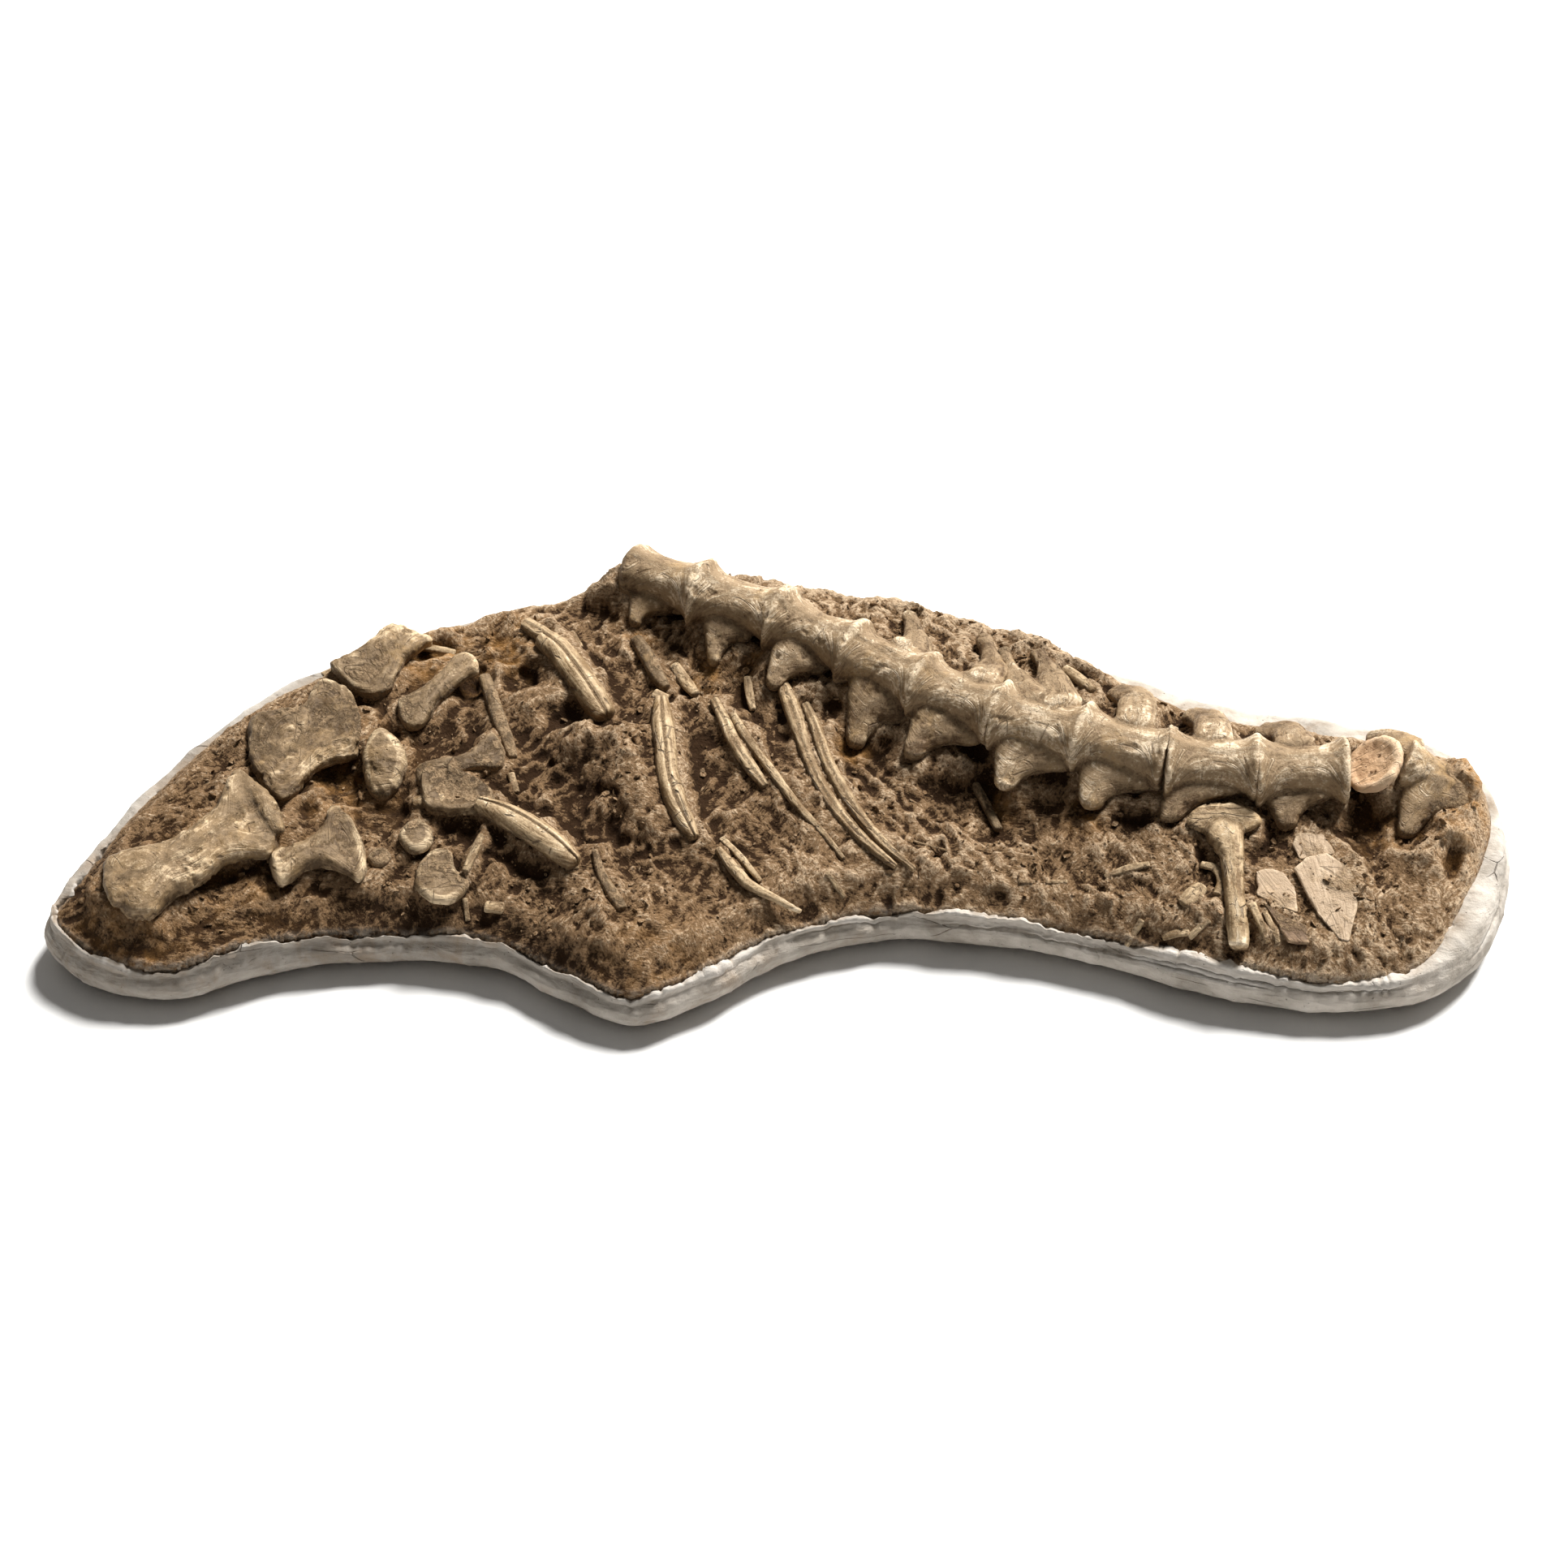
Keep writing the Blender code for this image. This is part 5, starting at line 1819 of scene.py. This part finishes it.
LOOSE_BONES = (
    rib(1, mm((-212, 159, 110, 10), (-195, 139, 111, 12.3), (-181, 116, 109, 13),
        (-169, 96, 106, 13), (-158, 77, 101, 12.3), (-151, 65, 98, 10.5)), grooves=DOUBLE),
    rib(2, mm((-229, 178, 110, 7.2), (-216, 167, 110, 8), (-203, 155, 110, 7.2)), grooves=FLUTED),
    rib(3, mm((-262, -37, 94, 7), (-239, -50, 95, 11), (-214, -67, 93, 12.2),
        (-192, -85, 90, 11.5), (-173, -102, 84, 8)), grooves=LOW_DOUBLE),
    rib(4, mm((-103, 88, 101, 6.5), (-101, 57, 101, 10.1), (-98, 26, 100, 10.1),
        (-95, -5, 96, 10.1), (-88, -32, 91, 10.1), (-80, -50, 86, 8.7), (-71, -68, 81, 5.1)),
        grooves=DOUBLE),
    rib(5, mm((-56, 91, 98, 4.3), (-46, 65, 96, 5.5), (-36, 38, 93, 6), (-22, 14, 88, 6),
        (-9, -5, 83, 3.8)), grooves=FLUTED),
    rib(6, mm((-39, 73, 97, 3.6), (-25, 44, 94, 4.2), (-8, 16, 90, 4.2), (19, -29, 84, 3.8),
        (40, -55, 78, 3.2), (59, -82, 71, 2.4))),
    rib(7, mm((4, 114, 100, 5), (11, 92, 98, 7.5), (18, 66, 95, 7.5), (26, 33, 91, 6),
        (37, -1, 87, 6), (53, -33, 83, 6), (77, -65, 77, 5.2), (105, -91, 70, 3)), grooves=FLUTED),
    rib(8, mm((26, 86, 97, 4.3), (36, 55, 95, 5.6), (44, 23, 92, 6.2), (56, -7, 87, 6.2),
        (73, -39, 82, 5.4), (95, -69, 76, 4.5), (121, -93, 69, 2.6)), grooves=FLUTED),
    rib(9, mm((-51, -76, 78, 3.6), (-38, -96, 76, 5.1), (-23, -114, 72, 5.1), (-4, -125, 69, 3.6),
        (12, -131, 63, 2.9), (22, -133, 58, 1.8))),
    rib(10, mm((-263, 121, 98, 5.8), (-255, 94, 97, 6.5), (-247, 67, 95, 6.5), (-238, 41, 92, 5.8),
        (-233, 24, 89, 4)), Cloth.LIMB),
    rib(11, mm((-128, 167, 102, 5.8), (-117, 146, 100, 7), (-106, 120, 97, 6.5),
        (-98, 108, 95, 4.3)), Cloth.LIMB),
    rib(12, mm((257, 104, 124, 4.5), (270, 89, 125, 5.3), (283, 74, 124, 4.5))),
    rib(13, mm((-158, -83, 83, 2.9), (-151, -109, 80, 4.3), (-140, -131, 76, 5.8),
        (-132, -144, 72, 5.1)), Cloth.LIMB),
    rib(14, mm((172, 18, 74, 3.8), (184, -10, 70, 4.5), (196, -42, 66, 3.8)), Cloth.LIMB),
    limb("limb_bone_long", Blade(mm((-584, -107, -577, -130, 78, 11, 0),
        (-581, -98, -562, -153, 81, 16, 0.1), (-567, -92, -546, -161, 83, 18, 0.1),
        (-548, -88, -532, -156, 85, 18, 0.05), (-532, -84, -520, -138, 87, 16, 0),
        (-516, -72, -505, -130, 88, 15, 0), (-501, -57, -492, -118, 89, 15, 0),
        (-490, -41, -478, -102, 90, 15, 0.1), (-485, -26, -462, -96, 91, 16, 0.25),
        (-481, -9, -448, -95, 92, 16, 0.35), (-475, -1, -439, -92, 92, 15, 0.35),
        (-465, -6, -434, -84, 91, 14, 0.25), (-451, -34, -432, -69, 89, 10, 0), shares=1), 2.5),
        Shaft(mm((-563, -154, 86, 7), (-570, -132, 91, 10), (-576, -106, 88, 7)), 0.007,
        step=0.002), Shaft(mm((-432, -74, 94, 6), (-446, -44, 100, 9), (-470, -8, 99, 6)), 0.007,
        step=0.002), drop=0.007, reach=0.026, fuse=0.0016, rough=0.0015, chip=0.0016),
    limb("limb_bone_small", Blade(mm((-443, -84, -438, -108, 77, 8, 0),
        (-437, -81, -428, -118, 79, 11, 0.1), (-425, -80, -417, -110, 81, 10, 0),
        (-413, -75, -407, -101, 82, 10, 0), (-402, -66, -396, -99, 83, 10, 0.1),
        (-395, -57, -382, -104, 84, 10, 0.25), (-391, -36, -370, -111, 84, 10, 0.4),
        (-381, -39, -362, -117, 84, 10, 0.4), (-370, -51, -355, -106, 83, 9, 0.2),
        (-362, -68, -355, -89, 81, 6, 0), shares=1), 2.6), drop=0.005, reach=0.022, rough=0.0014,
        chip=0.0014),
    limb("limb_bone_fan", Blade(mm((-471, 48, -465, 12, 94, 7, 0.2),
        (-468, 63, -457, -3, 95, 10, 0.4), (-453, 67, -444, -23, 97, 11, 0.5),
        (-436, 70, -433, -32, 98, 12, 0.5), (-421, 77, -422, -22, 99, 12, 0.5),
        (-414, 92, -412, -5, 100, 12, 0.55), (-410, 102, -402, 7, 101, 12, 0.55),
        (-401, 104, -391, 13, 102, 12, 0.5), (-389, 97, -379, 16, 102, 12, 0.4),
        (-380, 83, -371, 22, 101, 11, 0.2), (-372, 61, -368, 40, 100, 7, 0), shares=1)),
        Shaft(mm((-400, 101, 107, 3), (-386, 91, 109, 3.8), (-376, 72, 108, 4),
        (-371, 52, 106, 3.8), (-372, 30, 102, 3)), 0.004, step=0.0018), reach=0.022, fuse=0.0014,
        rough=0.0018, chip=0.0016),
    limb("limb_bone_hooked", Blade(mm((-401, 124, -368, 91, 98, 9, 0.2),
        (-403, 131, -354, 93, 100, 11, 0.5), (-393, 137, -344, 104, 102, 12, 0.55),
        (-378, 147, -339, 121, 103, 12, 0.5), (-366, 157, -335, 134, 104, 11, 0.4),
        (-358, 169, -327, 145, 105, 10, 0.3), (-350, 177, -318, 155, 105, 9, 0.2),
        (-339, 180, -308, 164, 103, 7, 0), shares=1)), drop=0.005, reach=0.018, rough=0.0017,
        chip=0.0014),
    limb("phalanx_slender", Blade(mm((-339, 74, -335, 59, 100, 6, 0.1),
        (-338, 84, -326, 52, 101, 9, 0.35), (-328, 90, -315, 55, 102, 9, 0.2),
        (-316, 98, -308, 66, 103, 9, 0), (-305, 111, -301, 82, 104, 9, 0),
        (-296, 126, -289, 100, 104, 9, 0), (-290, 137, -277, 113, 105, 9, 0.1),
        (-281, 141, -269, 119, 105, 9, 0.2), (-271, 139, -267, 128, 104, 6, 0.1), shares=1), 2.4,
        step=0.0015), rough=0.0006, chip=0.0008),
    limb("phalanx_short", Blade(mm((-320, 8, -316, -15, 93, 6, 0),
        (-310, 11, -307, -13, 95, 8, 0.1), (-298, 14, -294, -3, 96, 8, 0),
        (-283, 18, -279, 0, 96, 8, 0), (-270, 25, -264, 5, 96, 8, 0.1),
        (-260, 40, -251, 6, 96, 9, 0.4), (-251, 46, -242, 10, 96, 8, 0.4),
        (-242, 33, -238, 21, 95, 6, 0), shares=1), 2.5, step=0.0015), drop=0.003, reach=0.016,
        rough=0.0007, chip=0.001),
    limb("phalanx_broken", Blade(mm((-313, -18, -310, -36, 93, 6, 0),
        (-310, 3, -303, -44, 95, 10, 0.4), (-296, 5, -290, -47, 96, 11, 0.9),
        (-282, 0, -277, -47, 96, 11, 0.9), (-267, -8, -266, -44, 95, 10, 0.7),
        (-255, -16, -256, -38, 93, 8, 0.3), (-245, -27, -247, -35, 92, 5, 0), shares=1), 3.6,
        step=0.0015), reach=0.016, rough=0.0012, chip=0.0018),
    limb("carpal_oval", Slab(mm((-366, 18), (-362, 34), (-351, 44), (-337, 36), (-327, 18),
        (-328, 0), (-336, -15), (-347, -22), (-357, -15), (-364, 2)), 0.095, 0.014, dome=0.0045,
        up=(-0.1, -0.4, 1.0), rounded=True, sides=90), reach=0.016, rough=0.0014, chip=0.0012),
    limb("carpal_round", Slab(mm((-330, -68), (-325, -55), (-314, -49), (-303, -57), (-299, -70),
        (-304, -82), (-315, -86), (-324, -80)), 0.084, 0.012, dome=0.002, rounded=True, sides=72),
        drop=0.003, reach=0.018, rough=0.0008),
    limb("carpal_sunk", Slab(mm((-356, -86), (-349, -77), (-340, -77), (-335, -86), (-341, -95),
        (-351, -95)), 0.077, 0.008, dome=0.002, rounded=True, sides=56), drop=0.0, rough=0.0006),
    limb("carpal_notched", Slab(mm((-314, -108), (-311, -89), (-297, -75), (-283, -78),
        (-280, -93), (-277, -98), (-267, -109), (-270, -123), (-283, -133), (-298, -130),
        (-311, -119)), 0.071, 0.01, dome=0.0015, rounded=True, middle=(-0.295, -0.107)),
        reach=0.02, rough=0.001),
    Fossil("splint_bone", (Shaft(mm((-256, -68, 87, 3.2), (-263, -87, 84, 4), (-270, -106, 79, 3)),
        0.004, step=0.0012),), Cloth.RIB, drop=0.001, reach=0.008, rough=0.0003),
    Fossil("club_bone", (Shaft(mm((391, -58, 90, 16.5), (391, -68, 90, 17.5), (393, -79, 89, 15),
        (396, -91, 87, 11.2), (396, -105, 84, 9.8), (396, -129, 78, 9), (397, -153, 71, 9.2),
        (398, -170, 64, 9.2), (397, -178, 61, 8.6)), 0.0115, follow=0.35, caps=(0.3, 0.12),
        grooves=((0.35, 0.0014, 0.18),), step=0.0018), Slab(mm((358, -62), (363, -52), (378, -45),
        (400, -45), (416, -51), (423, -60), (413, -68), (396, -73), (376, -71)), 0.096, 0.01,
        dome=0.0015, dish=0.001, up=(0.0, -0.5, 1.0), rounded=True, ragged=0.06)), Cloth.RIB,
        reach=0.016, fuse=0.0013, rough=0.0006, chip=0.0012),
    Fossil("plate_kite", (Slab(mm((449, -107), (460, -97), (478, -91), (497, -106), (505, -124),
        (493, -177), (484, -176), (467, -152)), 0.079, 0.0036, up=(0.0, -0.25, 1.0),
        apex=(0.491, -0.215), ragged=0.04),), Cloth.PLATE, drop=0.0012, reach=0.034, rough=0.0006),
    Fossil("plate_upper", (Slab(mm((450, -78), (456, -66), (478, -68), (487, -88), (455, -94)),
        0.085, 0.0036, up=(0.0, -0.2, 1.0), apex=(0.47, -0.12), sides=80, ragged=0.06),),
        Cloth.PLATE, drop=0.0012, reach=0.026, rough=0.0006),
    Fossil("plate_striped", (Slab(mm((417, -107), (428, -104), (440, -108), (449, -122),
        (450, -148), (434, -142), (416, -130)), 0.077, 0.0036, up=(0.0, -0.21, 1.0),
        apex=(0.4, -0.075), sides=80, ragged=0.05),), Cloth.PLATE, drop=0.0012, reach=0.028,
        rough=0.0006),
    Fossil("plate_brown", (Slab(mm((420, -138), (440, -153), (456, -161), (458, -178),
        (440, -177)), 0.07, 0.0036, up=(0.0, -0.25, 1.0), apex=(0.395, -0.11), sides=80,
        ragged=0.06),), Cloth.PLATE_DARK, drop=0.0012, reach=0.028, rough=0.0006),
    Fossil("cup_face", (Slab(disc_corners(CUP_MIDDLE, 0.0285, CUP_FACING), CUP_MIDDLE[2], 0.013,
        dish=0.004, up=CUP_FACING, rounded=True),), Cloth.CUP, drop=0.014, reach=0.012,
        rough=0.0008, chip=0.0012, replaces=False),
)

# Small pieces on the rock in millimetres: height above the rock, then stations of x, y and
# half width
SPLINTERS = (
    (0.6, (211, -101, 2.2), (226, -101, 2)), (0.6, (235, -102, 2.2), (254, -102, 2)),
    (1, (286, -101, 2.5), (307, -98, 4), (325, -96, 2.5)),
    (1, (334, -157, 3), (346, -156, 4.2), (357, -158, 3)), (1, (356, -161, 3.5), (374, -152, 3)),
    (0.8, (303, -157, 2.5), (317, -143, 3)),
    (0.4, (410, -142, 3.6), (417, -160, 3.6), (423, -174, 2.8)),
    (0.4, (421, -147, 3), (427, -162, 3), (432, -174, 2.4)),
    (0.6, (351, -136, 6), (361, -126, 8), (370, -115, 6)),
    (1.5, (369, -94, 3.5), (381, -99, 4), (386, -113, 4), (381, -130, 3)),
    (3, (-26, 122, 4), (-24, 103, 4.2), (-21, 87, 2.5)), (0.8, (44, -100, 2.8), (60, -112, 2.2)),
    (1.5, (-275, -42, 5), (-253, -42, 4.5)), (1.2, (-319, -31, 5), (-305, -30, 8), (-290, -33, 6)),
    (1, (-235, 9, 3.5), (-229, -9, 3)), (1, (-270, -122, 2.6), (-267, -138, 2.2)),
    (1, (-253, -128, 6), (-235, -132, 6)), (1.2, (-48, -60, 3), (-31, -83, 3.2), (-13, -109, 2.2)),
    (2, (-93, 139, 5), (-82, 120, 6), (-72, 99, 4.5)), (3, (-111, 103, 5.5), (-97, 96, 5.5)),
    (3, (-341, 179, 4), (-318, 167, 4), (-291, 157, 3.5)),
    (0.8, (-182, -78, 3), (-173, -104, 2.8)),
    (4, (-98, 203, 9), (-86, 203, 12.5), (-74, 201, 8.5)),
    (0.6, (-186, 176, 2.5), (-176, 150, 2.2)), (0.4, (120, -60, 1.4), (150, -72, 1.2)),
    (1, (-410, 130, 3), (-398, 140, 2.5)))


def splinters(rock: RockSurface) -> Fossil:
    """Lay the small broken pieces on the carved rock.

    Args:
        rock: the carved rock.

    Returns:
        All the pieces as one bone.
    """
    shapes = []
    for above, *rows in SPLINTERS:
        places = np.array(mm(*rows))
        level = rock.height_at(places) + above / 1000
        wide = places[:, 2].max()
        shapes.append(Shaft(tuple((*place[:2], height, place[2])
                                  for place, height in zip(places, level)),
                            wide * 0.62, caps=(0.4, 0.4), step=0.0012))
    return Fossil("bone_splinters", tuple(shapes), Cloth.RIB, rough=0.0004, chip=0.0004,
                  replaces=False)


@dataclass(frozen=True)
class Crumbs:
    """Loose chips and grains of rock left in the hollows and along the lip."""

    count: int = 2400
    seed: int = 7
    smallest: float = 0.0009
    spread: float = 0.0028
    margin: float = 0.018

    def build(self, rock: RockSurface, outline: Outline) -> Mesh:
        """Scatter the chips.

        Args:
            rock: the carved rock they lie on.
            outline: the jacket's line, to stay inside it.

        Returns:
            All the chips as one mesh on the plan.
        """
        chance = np.random.default_rng(self.seed)
        places = rock.low + chance.random((self.count * 5, 2)) * rock.size
        deep, _, wide = outline.depth(places)
        clumps = Grit(71).layered(at_height(places), 0.05, 3)
        wanted = clumps + chance.normal(0.0, 0.35, len(places)) > 0.1
        wanted &= deep > wide + self.margin
        places = places[wanted][:self.count]
        level = rock.height_at(places)
        size = self.smallest + self.spread * chance.random(len(places)) ** 3.0
        heap = bmesh.new()
        bmesh.ops.create_icosphere(heap, subdivisions=1, radius=1.0)
        corners = len(heap.verts)
        while len(heap.verts) < corners * len(places):
            bmesh.ops.duplicate(heap, geom=[*heap.verts, *heap.edges, *heap.faces])
        heap.verts.ensure_lookup_table()
        bmesh.ops.delete(heap, geom=heap.verts[corners * len(places):], context="VERTS")
        mesh = mesh_from(heap, "crumbs")
        stones = read_points(mesh).reshape(len(places), corners, 3)
        axes = chance.normal(size=(len(places), 3, 3))
        axes /= np.linalg.norm(axes, axis=2)[:, :, None]
        axes[:, 0] *= np.sign(np.linalg.det(axes))[:, None]
        stones = np.einsum("ijk,ikl->ijl", stones, axes) * size[:, None, None]
        stones[:, :, 2] *= 0.75
        stones += at_height(places, level + size * 0.25)[:, None, :]
        points = stones.reshape(-1, 3)
        write_points(mesh, points)
        write_layer(mesh, "pit", Grit(72).smooth(points / 0.004) * 0.6 + 0.3)
        write_layer(mesh, "rust", rust_at(points))
        for name in ("hollow", "tint", "dust"):
            write_layer(mesh, name, np.zeros(len(points)))
        mesh.shade_flat()
        return mesh


# --- studio
@dataclass(frozen=True)
class Studio:
    """Plain pale floor, a key from behind on the right, a wide soft one above, the camera."""

    # Name, strength, softness in degrees and the direction it comes from
    lamps: tuple[tuple[str, float, float, Row], ...] = (
        ("key", 8.0, 18.0, (0.37, 0.5, 0.78)), ("soft", 0.42, 120.0, (0.1, 0.2, 0.97)))
    lamp_tint: Colour = (1.0, 0.985, 0.955)
    sky_tint: Colour = (1.0, 0.94, 0.86)
    fill: float = 0.062
    floor_tone: float = 0.8
    floor_size: float = 14.0
    floor_gap: float = 0.0005
    target: Row = (0.0015, 0.0011, 0.06)
    distance: float = 4.0
    elevation: float = math.radians(45)
    lens: float = 103.08

    def build(self) -> None:
        """Set up the floor, lights and camera."""
        sheet = bmesh.new()
        bmesh.ops.create_grid(sheet, x_segments=1, y_segments=1, size=self.floor_size)
        floor = show("floor", mesh_from(sheet, "floor"))
        bench = NodeBench("floor_paper")
        tone = bench.noise(bench.place(), 2.0, 2.0).over(0.0, 1.0)
        pale = (self.floor_tone,) * 3
        colour = bench.mix(tone, pale, (self.floor_tone * 1.01,) * 3)
        level = bench.noise(bench.place(), 300.0, 2.0)
        floor.data.materials.append(bench.dress(
            colour, level.over(0.0, 1.0, 0.85, 0.95), bench.bump(level, 0.0001, 0.2), 0.1))
        floor.location.z = -self.floor_gap
        for name, strength, softness, direction in self.lamps:
            light = bpy.data.lights.new(name, "SUN")
            light.energy = strength
            light.angle = math.radians(softness)
            light.color = self.lamp_tint
            lamp = show(name, light)
            lamp.rotation_euler = Vector(direction).to_track_quat("Z", "Y").to_euler()
        world = bpy.data.worlds.new("studio")
        world.use_nodes = True
        back = world.node_tree.nodes["Background"]
        back.inputs["Color"].default_value = (*self.sky_tint, 1.0)
        back.inputs["Strength"].default_value = self.fill
        bpy.context.scene.world = world
        lens = bpy.data.cameras.new("camera")
        lens.lens = self.lens
        camera = show("camera", lens)
        away = Vector((0.0, -math.cos(self.elevation), math.sin(self.elevation)))
        camera.location = Vector(self.target) + away * self.distance
        camera.rotation_euler = away.to_track_quat("Z", "Y").to_euler()
        bpy.context.scene.camera = camera
        bpy.context.scene.view_settings.view_transform = "Standard"


def main() -> None:
    """Build every piece in turn and report it."""
    logging.basicConfig(level=logging.INFO, format="%(message)s")
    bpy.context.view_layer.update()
    outline = Outline()
    rock = RockSurface(outline)
    bones = (*(bone.fossil() for bone in BACKBONE), *LOOSE_BONES)
    seats = [seat for vertebra in BACKBONE for seat in vertebra.beds()]
    seats += [seat for bone in LOOSE_BONES for seat in bone.seats()]
    set_piece("rock", rock.build(seats), Cloth.ROCK, "rock_matrix")
    set_piece("jacket", PlasterJacket(outline).build(), Cloth.PLASTER, "plaster_jacket")
    for bone in (*bones, splinters(rock)):
        nodes = (bone.name,) if bone.replaces else ()
        set_piece(f"{bone.name}_skin", bone.make(rock), bone.cloth, *nodes)
    set_piece("crumbs", Crumbs().build(rock, outline), Cloth.ROCK)
    Studio().build()


if __name__ == "__main__":
    main()
